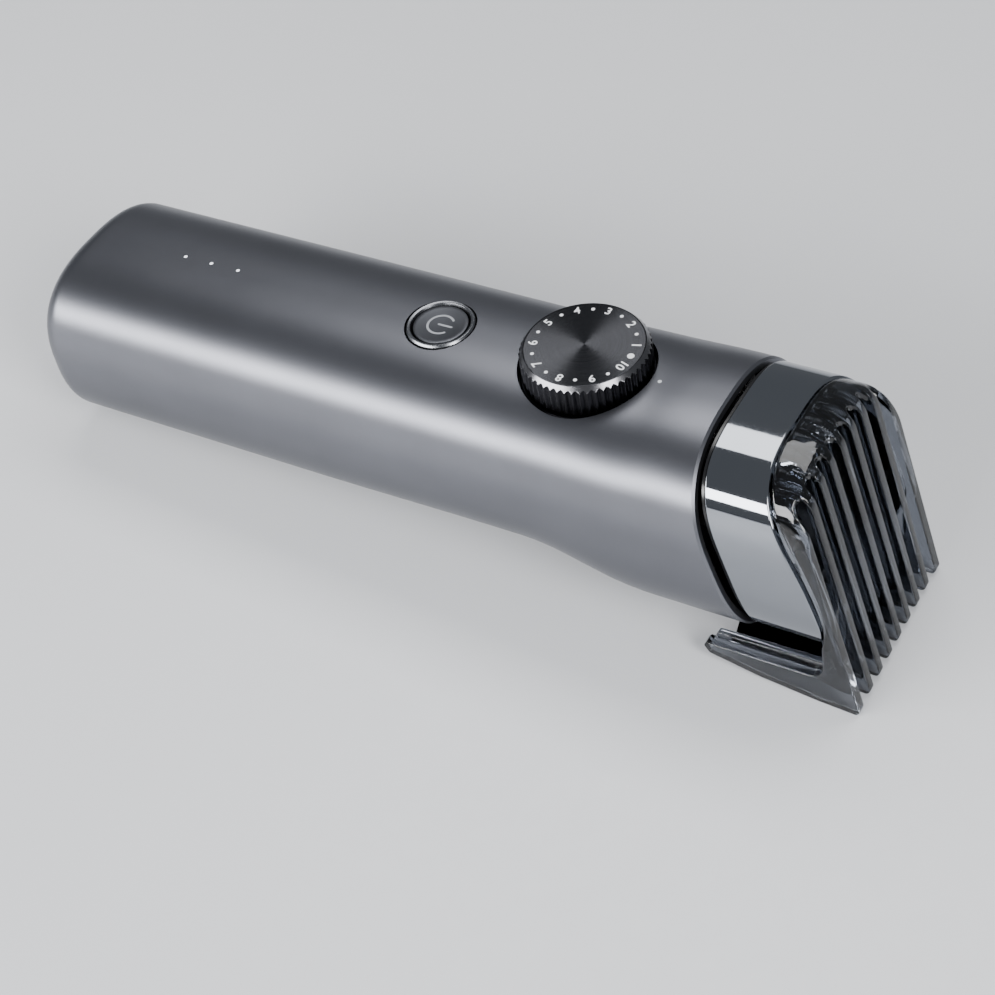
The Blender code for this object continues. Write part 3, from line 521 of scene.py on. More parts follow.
def sleeve_points(x, inset, columns, settings):
    """Rings of the sleeve.

    Each is a superellipse whose belly first draws in at a waist and then flares down towards the
    head, sheared forwards by a lean that grows from none at the dial to the slant of the front.
    """
    angle = np.linspace(0, TURN, columns, endpoint=False)
    x, inset = np.asarray(x, float)[:, None], np.asarray(inset, float)[:, None]
    flare = smoothstep(x, -0.0070, 0.0160)
    waist = smoothstep(x, -0.050, -0.0120) * 0.0007 * (1 - flare)
    crown = smoothstep(x, 0.010, 0.028) * CROWN_RISE
    y, z = superellipse(
        angle[None, :], settings.half_width + 0.0004 * flare - inset,
        SLEEVE_HALF_HEIGHT + crown - inset, SLEEVE_HALF_HEIGHT - waist + 0.0038 * flare - inset,
        2.6, 2.6 + 0.4 * flare,
    )
    lean = LEAN * smoothstep(x, 0.009, 0.026)
    return np.stack([x - lean * z, y, z], axis=-1)


class TRIMMER_OT_sleeve(bpy.types.Operator):
    """Build the bead-blasted metal sleeve"""

    bl_idname = "trimmer.sleeve"
    bl_label = "Sleeve"

    def execute(self, context):
        settings = context.scene.trimmer.sleeve
        turn = np.radians(np.linspace(80, 0, 13))
        radius = settings.rear_round
        rear_x = SLEEVE_REAR + radius * (1 - np.sin(turn))
        rear_inset = radius * (1 - np.cos(turn))
        straight = np.linspace(SLEEVE_REAR + radius, SLEEVE_FRONT - settings.edge, 96)[1:]
        wall = settings.wall
        inner = np.array([SLEEVE_FRONT - 0.0002, 0.0245, 0.016, 0.010, 0.004, -0.004])
        rest = np.array([-0.012, -0.03, -0.07, SLEEVE_REAR + 0.0062])
        x = np.concatenate(
            [rear_x, straight, [SLEEVE_FRONT, SLEEVE_FRONT], inner, rest, [SLEEVE_REAR + 0.0016]]
        )
        inset = np.concatenate(
            [
                rear_inset, np.zeros(len(straight)), [settings.edge, wall - 0.0002],
                np.full(len(inner) + len(rest), wall), [rear_inset[0] + 0.0002],
            ]
        )
        shell = closed_mesh("sleeve_raw", [grid(sleeve_points(x, inset, 168, settings))])
        cutters = []
        for place, hole in ((0.0, DIAL_HOLE), (BUTTON_X, BUTTON_HOLE)):
            profile = [(0, 0.026), (hole, 0.026), (hole, 0.011), (0, 0.011)]
            cutters.append(closed_mesh("hole", [lathe(profile, 128, (place, 0))]))
        mesh = combined("sleeve", shell, cutters, "DIFFERENCE", 32)
        finish = surface(
            "bead_blasted_gunmetal", settings.metal, 1.0, settings.roughness, 0.05, 0.05, 60.0,
            9000.0, 0.000012, 0.22,
        )
        piece("metal_sleeve", mesh, finish, "housing", ["body_sleeve"])
        return {"FINISHED"}


class TRIMMER_OT_rear(bpy.types.Operator):
    """Build the rear cap with its socket opening"""

    bl_idname = "trimmer.rear"
    bl_label = "Rear cap"

    def execute(self, context):
        settings = context.scene.trimmer.sleeve
        x = SLEEVE_REAR + np.array([0.0021, 0.0004, 0.00012, 0.0, 0.0, 0.0])
        inset = np.array([0.0046, 0.0046, 0.0047, 0.0050, 0.0075, 0.0110])
        back = x[::-1] + np.array([0.0022, 0.0022, 0.0022, 0.0020, 0.0016, 0.0])
        rings = sleeve_points(
            np.concatenate([x, back]), np.concatenate([inset, inset[::-1]]), 168, settings
        )
        ring = closed_mesh("cap_raw", [grid(rings)])
        fill = sleeve_points(
            SLEEVE_REAR + np.array([0.0, 0.0022]), np.array([0.0108, 0.0108]), 168, settings
        )
        caps = [list(range(168)), list(range(168, 336))]
        core = closed_mesh("cap_core", [(fill, [*quads(2, 168, False, True).tolist(), *caps])])
        plate = combined("cap_joined", ring, [core], "UNION")
        angle = np.linspace(0, TURN, 64, endpoint=False)
        reach = np.where(np.cos(angle) >= 0, 0.00292, -0.00292)
        y = reach + 0.00195 * np.cos(angle)
        z = 0.0070 + 0.00195 * np.sin(angle)
        mouth_x = SLEEVE_REAR + np.array([-0.002, 0.004])
        mouth = np.stack(
            [
                np.broadcast_to(mouth_x[:, None], (2, 64)), np.broadcast_to(y, (2, 64)),
                np.broadcast_to(z, (2, 64)),
            ],
            axis=-1,
        )
        ends = [list(range(64)), list(range(64, 128))]
        hole = closed_mesh("mouth", [(mouth, [*quads(2, 64, False, True).tolist(), *ends])])
        mesh = combined("rear_cap", plate, [hole], "DIFFERENCE")
        finish = surface("moulded_black", (0.014, 0.014, 0.016), 0.0, 0.42, 0.06, 0.15, 120.0)
        piece("rear_cap", mesh, finish, "housing", ["end_cap"])
        return {"FINISHED"}


# Head.


def rim_x(z, settings):
    """How far forward the band reaches at a height: furthest at a nose below the axis."""
    nose_x, nose_z, top_x, heel_x = 0.0482, -0.0110, 0.0373, 0.0445
    above = np.clip((z - nose_z) / (settings.top - nose_z), 0, 1) ** 1.4
    below = np.clip((nose_z - z) / (settings.bottom + nose_z), 0, 1) ** 2.5
    return nose_x - (nose_x - top_x) * above - (nose_x - heel_x) * below


def head_section(inset, columns, settings):
    angle = np.linspace(0, TURN, columns, endpoint=False)
    inset = np.asarray(inset, float)[:, None]
    return superellipse(
        angle[None, :], settings.half_width - inset, settings.top - inset, settings.bottom - inset,
        3.2, 3.8,
    )


class TRIMMER_OT_head(bpy.types.Operator):
    """Build the chrome band and the black ring behind it"""

    bl_idname = "trimmer.head"
    bl_label = "Head band"

    def execute(self, context):
        settings = context.scene.trimmer.head
        edge, wall = settings.edge, settings.wall
        turn = np.radians(np.linspace(0, 90, 5))
        # A row stands a share of the way from the rear plane to the rim, and a distance past it.
        middle = np.linspace(0, 1, 40)[1:-1]
        share_out = np.concatenate([np.zeros(5), middle, np.ones(5)])
        round_past, round_inset = edge * (1 - np.cos(turn)), edge * (1 - np.sin(turn))
        past = np.concatenate([round_past, np.zeros(38), -round_past[::-1]])
        inset = np.concatenate([round_inset, np.zeros(38), round_inset[::-1]])
        share_in = np.array([1.0, 1.0, 0.75, 0.5, 0.25, 0.0, 0.0])
        past_in = np.array([0.0, -edge, 0, 0, 0, edge, 0.0])
        inset_in = np.array([wall - edge, wall, wall, wall, wall, wall, wall - edge])
        share_all = np.concatenate([share_out, share_in])[:, None]
        past_all = np.concatenate([past, past_in])[:, None]
        inset_all = np.concatenate([inset, inset_in])
        y, z = head_section(inset_all, 192, settings)
        rear = BAND_REAR - LEAN * z
        front = rim_x(z, settings)
        x = rear + (front - rear) * share_all + past_all
        mesh = closed_mesh("head_band", [grid(np.stack([x, y, z], axis=-1))])
        finish = surface(
            "polished_dark_chrome", settings.chrome, 1.0, 0.055, 0.02, 0.04, 45.0, 2500.0,
            0.000003, 0.05,
        )
        piece("chrome_band", mesh, finish, "housing", ["head_band"])
        start, end = SLEEVE_FRONT + 0.00075, BAND_REAR - 0.0003
        rows_x = np.array([start, end, end, BAND_REAR + 0.003, BAND_REAR + 0.003, start])
        rows_inset = np.array([0.0005, 0.0005, 0.0016, 0.0016, 0.0031, 0.0031])
        y, z = head_section(rows_inset, 160, settings)
        ring = np.stack([rows_x[:, None] - LEAN * z, y, z], axis=-1)
        finish = surface("gloss_black", (0.006, 0.006, 0.007), 0.0, 0.22, 0.04, 0.1, 100.0)
        mesh = closed_mesh("head_ring", [grid(ring)])
        piece("black_ring", mesh, finish, "housing", ["front_bezel"])
        return {"FINISHED"}


# Comb.


def arch_z(y, settings, head):
    """Height of the comb's top over each y, a superellipse from side to side."""
    part = np.clip(np.abs(y) / settings.half_width, 0, 1)
    return head.top * (1 - part**3.2) ** (1 / 3.2)


def front_x(z):
    """The comb's leaning front face, which moves forward as it goes down."""
    radius = COMB_CORNER_RADIUS
    start_x = COMB_CORNER_X + radius * math.cos(COMB_LEAN)
    start_z = 0.0168 - radius + radius * math.sin(COMB_LEAN)
    return start_x + (start_z - z) * math.tan(COMB_LEAN)


def sole_z(x):
    return SOLE_LEVEL - FLOOR_TILT * x


def top_corner(y, settings, head):
    """Centre and radius of the arc at the comb's top front corner, at each y.

    The arc shrinks with the arch, so that the corner fades out as it comes down the side.
    """
    top = arch_z(y, settings, head)
    radius = 0.00414 * np.sqrt(np.clip(top / head.top, 0, 1)) + 0.00036
    centre_z = top - radius
    centre_x = front_x(centre_z + radius * math.sin(COMB_LEAN)) - radius * math.cos(COMB_LEAN)
    return centre_x, centre_z, radius


def comb_front(y, settings, head, count=14):
    """The comb's profile round its top corner at a y, down to the leaning front."""
    centre_x, centre_z, radius = top_corner(y, settings, head)
    turn = np.linspace(math.pi / 2, COMB_LEAN, count)
    return np.stack([centre_x + radius * np.cos(turn), centre_z + radius * np.sin(turn)], -1)


def offset_outline(outline, distance):
    """A closed outline moved inwards by a distance, along the mean of its two sides' normals."""
    to_next = np.roll(outline, -1, axis=0) - outline
    to_next /= np.linalg.norm(to_next, axis=1, keepdims=True)
    to_last = np.roll(to_next, 1, axis=0)
    normal_next = np.stack([-to_next[:, 1], to_next[:, 0]], -1)
    normal_last = np.stack([-to_last[:, 1], to_last[:, 0]], -1)
    mean = normal_next + normal_last
    mean /= np.maximum(np.linalg.norm(mean, axis=1, keepdims=True), 1e-9)
    cosine = np.clip((mean * normal_next).sum(1, keepdims=True), 0.35, 1)
    following = np.roll(outline, -1, axis=0)
    area = (outline[:, 0] * following[:, 1] - following[:, 0] * outline[:, 1]).sum()
    return outline + mean * (distance / cosine) * (1 if area > 0 else -1)


def plate(outline_at, centre, half, edge, steps=4):
    """A plate seen from the side as an outline, with rounded edges.

    Its rows run from one face to the other. Each row's outline is moved in by
    edge * (1 - cos(turn)) while it stands edge * sin(turn) past the flat part of the edge.
    """
    turn = np.radians(np.linspace(90, 0, steps + 1))
    y = half - edge + edge * np.sin(turn)
    inset = edge * (1 - np.cos(turn))
    y = np.concatenate([y, -y[::-1]]) + centre
    inset = np.concatenate([inset, inset[::-1]])
    rows = []
    for row_y, row_inset in zip(y, inset):
        outline = offset_outline(outline_at(row_y), row_inset)
        rows.append(
            np.stack([outline[:, 0], np.full(len(outline), row_y), outline[:, 1]], axis=-1)
        )
    rows = np.stack(rows)
    count = rows.shape[1]
    faces = quads(rows.shape[0], count, False, True).tolist()
    faces.append(list(range(count)))
    faces.append(list(range((rows.shape[0] - 1) * count, rows.shape[0] * count)))
    return rows, faces


def tooth_outline(y, settings, head):
    """One inner tooth from the side: bridge, top corner, leaning front, tip, sole and prong."""
    front = comb_front(y, settings, head)
    top = arch_z(y, settings, head)
    rear = rim_x(top, head) + 0.0010
    depth = settings.depth / math.cos(COMB_LEAN)
    tip_x, prong_x, prong_top = COMB_TIP_X, 0.0293, -0.0254
    below = fillet(
        [
            front[-1], (front_x(sole_z(tip_x) + 0.0012) - 0.0002, sole_z(tip_x) + 0.0012),
            (tip_x - 0.0009, sole_z(tip_x) + 0.00005), (SOLE_BEND_X, sole_z(SOLE_BEND_X) + 0.0004),
            (prong_x + 0.0005, sole_z(prong_x) + 0.0011), (prong_x, prong_top - 0.0006),
            (prong_x + 0.0012, prong_top), (front_x(prong_top) - depth, prong_top),
            (front[-1][0] - depth, front[-1][1]),
            (front[-1][0] - depth - 0.0022, top - settings.skin - 0.0004),
            (rear, top - settings.skin - 0.0003), (rear, top - 0.0002),
        ],
        [0, 0.0009, 0.0009, 0.003, 0.0006, 0.0005, 0.0006, 0.0022, 0.003, 0.0012, 0.0003, 0.0002],
        5, False,
    )
    return np.concatenate([front, below[1:]])


def side_outline(y, settings, head):
    """A side wall: as a tooth, but whole from the band's rim forward, with a notch under it."""
    front = comb_front(y, settings, head)
    top = float(arch_z(y, settings, head))
    tip_x, prong_x, prong_top = COMB_TIP_X, 0.0264, -0.0226
    low = fillet(
        [
            front[-1], (front_x(sole_z(tip_x) + 0.0009) - 0.0002, sole_z(tip_x) + 0.0009),
            (tip_x - 0.0008, sole_z(tip_x) + 0.00003), (0.0470, sole_z(0.0470)),
            (SOLE_BEND_X, sole_z(SOLE_BEND_X) + 0.0007),
            (prong_x + 0.0010, sole_z(prong_x) + 0.0020), (prong_x, prong_top - 0.0010),
            (prong_x + 0.0006, prong_top), (0.0443 + 0.0038, prong_top), (0.0443 + 0.0038, -0.0170),
        ],
        [0, 0.0008, 0.0007, 0.004, 0.004, 0.0007, 0.0006, 0.0003, 0.0038, 0], 7, False,
    )
    levels = np.linspace(-0.0165, top - 0.0002, 18)
    rim = np.stack([np.maximum(rim_x(levels, head), 0.0) + 0.0004, levels], axis=-1)
    rim[:, 0] = np.where(levels < -0.0110, np.maximum(rim[:, 0], 0.0481), rim[:, 0])
    return np.concatenate([front, low[1:], rim])


class TRIMMER_OT_comb(bpy.types.Operator):
    """Build the clear comb: side walls, teeth, prongs and the bridge over the top"""

    bl_idname = "trimmer.comb"
    bl_label = "Comb"

    def execute(self, context):
        settings, head = context.scene.trimmer.comb, context.scene.trimmer.head
        pitch, edge = settings.pitch, settings.edge
        parts = []
        for i in range(-3, 4):
            parts.append(
                plate(
                    lambda y: tooth_outline(y, settings, head),
                    i * pitch, settings.tooth / 2, edge,
                )
            )
        wall_inner, wall_outer = WALL_INNER_Y, settings.half_width
        for side in (-1, 1):
            parts.append(self.side_wall(side, wall_inner, wall_outer, edge, settings, head))
            parts.append(self.rail(side))
        parts.append(self.rim_bead(settings, head))
        parts.append(self.bridge(settings, head, wall_inner))
        meshes = [closed_mesh(f"comb_part_{i}", [part]) for i, part in enumerate(parts)]
        mesh = combined("clear_comb", meshes[-1], meshes[:-1], "UNION", 34)
        finish = smoke_plastic("smoke_clear_plastic", settings.smoke)
        piece("clear_comb", mesh, finish, "comb", ["comb"])
        return {"FINISHED"}

    def rail(self, side):
        """A slim rounded rail inside a side wall, level with the underside of the head."""
        outline = fillet(
            [(0.0278, -0.0228), (0.0284, -0.0212), (0.0484, -0.0206), (0.0484, -0.0232)],
            [0.0004, 0.0007, 0.0002, 0.0002], 5,
        )
        return plate(lambda y: outline, side * 0.01565, 0.0007, 0.00028)

    def side_wall(self, side, inner, outer, edge, settings, head):
        """Rows of the side outline from the flat inner face out to the rounded outer face.

        The rows close up towards the outside, where the arch falls steeply.
        """
        part = np.linspace(0, 1, 16)
        y = inner + (outer - inner) * np.sin(part * math.pi / 2) ** 0.9
        inset = np.zeros(16)
        inset[0] = 0.00012
        rim = outer - y
        inset += edge * (1 - np.sqrt(np.clip(1 - (1 - np.clip(rim / edge, 0, 1)) ** 2, 0, 1)))
        rows = []
        for row_y, row_inset in zip(y, inset):
            outline = side_outline(min(row_y, outer * 0.9999), settings, head)
            outline = offset_outline(outline, row_inset)
            rows.append(
                np.stack([outline[:, 0], np.full(len(outline), side * row_y), outline[:, 1]], -1)
            )
        rows = np.stack(rows)
        count = rows.shape[1]
        faces = quads(len(rows), count, False, True).tolist()
        faces += [list(range(count)), list(range((len(rows) - 1) * count, len(rows) * count))]
        return rows, faces

    def bridge(self, settings, head, reach):
        """A strap over the top, from the band's rim to the slots.

        It is a closed profile carried over the arch, whose front edge runs back in a half round
        at each slot, as x = start - sqrt(r^2 - d^2) with d the distance from the slot's middle.
        """
        columns = 241
        y = np.linspace(-reach - 0.0004, reach + 0.0004, columns)
        top = arch_z(y, settings, head)
        slope = np.gradient(top, y)
        normal = np.stack([-slope, np.ones(columns)], -1)
        normal /= np.linalg.norm(normal, axis=1, keepdims=True)
        half = (settings.pitch - settings.tooth) / 2
        from_slot = np.abs((y / settings.pitch) % 1.0 - 0.5) * settings.pitch
        rear = rim_x(top, head) + 0.0004
        front = SLOT_START + half - np.sqrt(np.clip(half**2 - from_slot**2, 0, None))
        front = np.maximum(front, rear + 0.0016)
        centre_x, centre_z, radius = top_corner(y, settings, head)
        skin, edge = settings.skin, 0.00045
        turn = np.radians(np.linspace(0, 90, 6))
        past, drop = edge * (1 - np.cos(turn)), edge * (1 - np.sin(turn))
        rows = [(rear + step, depth) for step, depth in zip(past, drop)]
        rows += [(rear + (front - rear) * part, 0.0) for part in np.linspace(0.15, 0.9, 14)]
        rows += [(front - step, depth) for step, depth in zip(past[::-1], drop[::-1])]
        rows += [(front, skin - edge), (front - edge, skin)]
        rows += [(rear + edge, skin), (rear, skin - edge)]
        points = []
        for x, depth in rows:
            ahead = np.clip(x - centre_x, 0, 0.98 * radius)
            level = centre_z + np.sqrt(radius**2 - ahead**2)
            points.append(
                np.stack([x, y - normal[:, 0] * depth, level - normal[:, 1] * depth], axis=-1)
            )
        return np.stack(points), self.capped(len(rows), columns)

    def rim_bead(self, settings, head):
        """A round bead carried along the comb's rear rim, up one side, over and down the other.

        It follows the band's rim at a fixed distance and stands a little proud of the wall.
        """
        radius, steps = 0.00055, 12
        arch = np.linspace(0, math.pi, 121)
        y, z = superellipse(arch, settings.half_width, head.top, head.top, 3.2, 3.2)
        fall = np.linspace(-0.0160, -0.0008, 14)
        side = np.full(len(fall), settings.half_width)
        y = np.concatenate([side, y, -side])
        z = np.concatenate([fall, z, fall[::-1]])
        x = np.where(z < -0.0110, np.maximum(rim_x(z, head), 0.0477), rim_x(z, head)) + 0.0010
        path = np.stack([x, y, z], axis=-1)
        along = np.gradient(path, axis=0)
        along /= np.linalg.norm(along, axis=1, keepdims=True)
        out = np.stack([np.zeros(len(y)), np.gradient(z), -np.gradient(y)], axis=-1)
        out /= np.linalg.norm(out, axis=1, keepdims=True)
        out -= along * (out * along).sum(1, keepdims=True)
        out /= np.linalg.norm(out, axis=1, keepdims=True)
        across = np.cross(along, out)
        middle = path - out * 0.00030 * np.sign((out * (path - [0.04, 0, 0])).sum(1))[:, None]
        angle = np.linspace(0, TURN, steps, endpoint=False)
        points = (
            middle[None]
            + radius * np.cos(angle)[:, None, None] * out[None]
            + radius * np.sin(angle)[:, None, None] * across[None]
        )
        return points, self.capped(steps, len(path))

    def capped(self, rows, columns):
        faces = quads(rows, columns, True, False).tolist()
        faces.append([row * columns for row in range(rows)])
        faces.append([row * columns + columns - 1 for row in range(rows)])
        return faces


# Dial.


def flat_mark(outline, height, thickness, centre, turn):
    """A closed flat shape of that thickness, turned and put on the dial."""
    outline = np.asarray(outline, float)
    cosine, sine = math.cos(turn), math.sin(turn)
    x = centre[0] + outline[:, 0] * cosine - outline[:, 1] * sine
    y = centre[1] + outline[:, 0] * sine + outline[:, 1] * cosine
    rows = np.stack(
        [np.stack([x, y, np.full(len(x), level)], -1) for level in (height, height + thickness)]
    )
    count = len(x)
    faces = quads(2, count, False, True).tolist()
    faces += [list(range(count)), list(range(count, 2 * count))]
    return rows, faces


def disc(radius, height, thickness, centre, steps=24):
    angle = np.linspace(0, TURN, steps, endpoint=False)
    outline = np.stack([radius * np.cos(angle), radius * np.sin(angle)], axis=-1)
    return flat_mark(outline, height, thickness, centre, 0.0)


def number_mesh(text, size, thickness):
    """A number as thin raised print, centred on its own middle."""
    curve = bpy.data.curves.new("number", "FONT")
    curve.body = text
    curve.size = 1000 * size
    curve.extrude = 1000 * thickness / 2
    curve.align_x, curve.align_y = "CENTER", "CENTER"
    curve.space_character = 0.95
    curve.offset = 0.012 * 1000 * size
    holder = bpy.data.objects.new("number", curve)
    bpy.context.scene.collection.objects.link(holder)
    bpy.context.view_layer.update()
    graph = bpy.context.evaluated_depsgraph_get()
    mesh = bpy.data.meshes.new_from_object(holder.evaluated_get(graph))
    bpy.data.objects.remove(holder, do_unlink=True)
    points = np.empty(3 * len(mesh.vertices))
    mesh.vertices.foreach_get("co", points)
    points = points.reshape(-1, 3) / 1000
    points[:, :2] -= (points[:, :2].min(0) + points[:, :2].max(0)) / 2
    faces = [list(face.vertices) for face in mesh.polygons]
    bpy.data.meshes.remove(mesh)
    return points, faces


class TRIMMER_OT_dial(bpy.types.Operator):
    """Build the length dial: fluted edge, spun face, numbers and its black seat"""

    bl_idname = "trimmer.dial"
    bl_label = "Length dial"

    def execute(self, context):
        settings = context.scene.trimmer.dial
        black = surface(
            "anodised_black", settings.black, 1.0, 0.30, 0.05, 0.2, 200.0, 6000.0, 0.00001, 0.2
        )
        self.fluted_edge(settings, black)
        self.face()
        self.seat()
        self.print_numbers(settings)
        return {"FINISHED"}

    def fluted_edge(self, settings, finish):
        """Flutes cut into a turned blank: radius = min(blank, fluted cylinder) at each height.

        The fluted cylinder is radius - flute * (1 - cos(ribs * angle)) / 2, so the polished
        chamfer meets it in a scalloped edge.
        """
        angle = np.linspace(0, TURN, settings.ribs * 10, endpoint=False)
        radius = settings.radius
        shoulder, lip = DIAL_TOP - CHAMFER_DEPTH, FACE_RADIUS + 0.00010
        profile = fillet(
            [
                (BORE_RADIUS, EDGE_LOW), (radius - 0.0003, EDGE_LOW), (radius, EDGE_LOW + 0.0003),
                (radius, shoulder),
            ],
            [0, 0.0002, 0.0002, 0], 4, False,
        )
        step = np.linspace(0, 1, 14)[1:]
        cone = np.stack(
            [radius + (lip - radius) * step, shoulder + (CHAMFER_DEPTH - 0.00004) * step], axis=-1
        )
        inside = [
            (FACE_RADIUS + 0.00002, DIAL_TOP - 0.00004),
            (FACE_RADIUS + 0.00002, DIAL_TOP - 0.0008), (BORE_RADIUS, DIAL_TOP - 0.0009),
        ]
        profile = np.concatenate([profile, cone, inside])
        blank = np.repeat(profile[:, :1], len(angle), axis=1)
        valley = (0.5 - 0.5 * np.cos(settings.ribs * angle)) ** 0.8
        reach = np.minimum(blank, (radius - settings.flute * valley)[None])
        points = carried_round(reach, profile[:, 1], angle)
        mesh = closed_mesh("dial_edge", [grid(points)], 40)
        obj = piece("dial_edge", mesh, finish, "length_dial", ["dial_knurl"])
        # The chamfer is polished black metal. Its base colour, far lighter than the anodised black,
        # is a painted highlight.
        polished = surface(
            "polished_black_and_painted_highlight", (0.16, 0.16, 0.17), 1.0, 0.22, 0.03, 0.05, 200.0, 6000.0,
            0.000003, 0.1
        )
        obj.data.materials.append(polished)
        normals = np.empty(3 * len(mesh.polygons))
        mesh.polygons.foreach_get("normal", normals)
        normals = normals.reshape(-1, 3)
        tilt = math.atan2(CHAMFER_DEPTH - 0.00004, radius - lip)
        on_cone = np.abs(normals[:, 2] - math.cos(tilt)) < 0.04
        mesh.polygons.foreach_set("material_index", on_cone.astype(np.int32))

    def face(self):
        """A turned disc whose own map runs round it, so that its brushing follows the lathe."""
        top = DIAL_TOP
        profile = fillet(
            [
                (0.0, top), (FACE_RADIUS - 0.0001, top), (FACE_RADIUS, top - 0.00010),
                (FACE_RADIUS, top - 0.00055), (0.0082, top - 0.0006), (0.0082, 0.0189),
                (0.0, 0.0189),
            ],
            [0, 0.00004, 0.00003, 0, 0, 0, 0], 4,
        )
        flat = np.linspace(0, 0.0100, 20)[1:]
        profile = np.concatenate(
            [profile[:1], np.stack([flat, np.full(len(flat), top)], -1), profile[1:]]
        )
        mesh = closed_mesh("dial_face", [lathe(profile, 144)], 28)
        centre = np.array([ORIGIN[0], ORIGIN[1]])
        layer = mesh.uv_layers.new(name="UVMap")
        loops = np.empty(len(mesh.loops), np.int32)
        mesh.loops.foreach_get("vertex_index", loops)
        places = np.empty(3 * len(mesh.vertices))
        mesh.vertices.foreach_get("co", places)
        places = places.reshape(-1, 3)[:, :2] - centre
        starts = np.empty(len(mesh.polygons), np.int32)
        totals = np.empty(len(mesh.polygons), np.int32)
        mesh.polygons.foreach_get("loop_start", starts)
        mesh.polygons.foreach_get("loop_total", totals)
        middles = np.empty(3 * len(mesh.polygons))
        mesh.polygons.foreach_get("center", middles)
        middles = middles.reshape(-1, 3)[:, :2] - centre
        owner = np.repeat(np.arange(len(totals)), totals)
        middle_turn = np.arctan2(middles[:, 1], middles[:, 0])[owner]
        own = places[loops]
        radius = np.hypot(own[:, 0], own[:, 1])
        turn = np.where(radius < 1e-6, middle_turn, np.arctan2(own[:, 1], own[:, 0]))
        turn = middle_turn + (turn - middle_turn + math.pi) % TURN - math.pi
        values = np.stack([turn / TURN + 0.5, radius / 0.0105], axis=-1)
        layer.data.foreach_set("uv", values.astype(np.float32).ravel())
        finish = spun_black("spun_black_metal", (0.050, 0.051, 0.056))
        piece("dial_face", mesh, finish, "length_dial", ["dial_plate"])

    def seat(self):
        profile = fillet(
            [
                (SEAT_RADIUS, SEAT_LOW), (SEAT_RADIUS, SEAT_HIGH), (0.0034, SEAT_HIGH),
                (0.0034, SEAT_LOW),
            ],
            [0, 0.0003, 0, 0], 5,
        )
        mesh = closed_mesh("dial_seat", [lathe(profile, 128)])
        finish = surface(
            "seat_black", (0.010, 0.010, 0.012), 1.0, 0.34, 0.06, 0.15, 150.0, 6000.0, 0.00001, 0.2
        )
        piece("dial_ring", mesh, finish, "housing", ["dial_seat"])

    def print_numbers(self, settings):
        film = 0.00003
        level = DIAL_TOP - 0.00001
        parts = []
        for k in range(1, 11):
            turn = math.radians(18 + 36 * (k - 1))
            points, faces = number_mesh(str(k), settings.digit, film)
            spin = turn - math.pi / 2
            x = points[:, 0] * math.cos(spin) - points[:, 1] * math.sin(spin)
            y = points[:, 0] * math.sin(spin) + points[:, 1] * math.cos(spin)
            centre = (settings.ring * math.cos(turn), settings.ring * math.sin(turn))
            placed = np.stack([x + centre[0], y + centre[1], points[:, 2] + level + film / 2], -1)
            parts.append((placed, faces))
            if k < 10:
                turn = math.radians(36 * k)
                centre = (settings.ring * math.cos(turn), settings.ring * math.sin(turn))
                parts.append(disc(0.00032, level, film, centre))
        parts.append(disc(0.00060, level, film, (settings.ring * 0.985, 0.0), 32))
        mesh = closed_mesh("dial_numbers", parts, 30, 1e-7)
        finish = printed("printed_white", settings.paint)
        piece("dial_numbers", mesh, finish, "length_dial")


# Button, lights and marks.


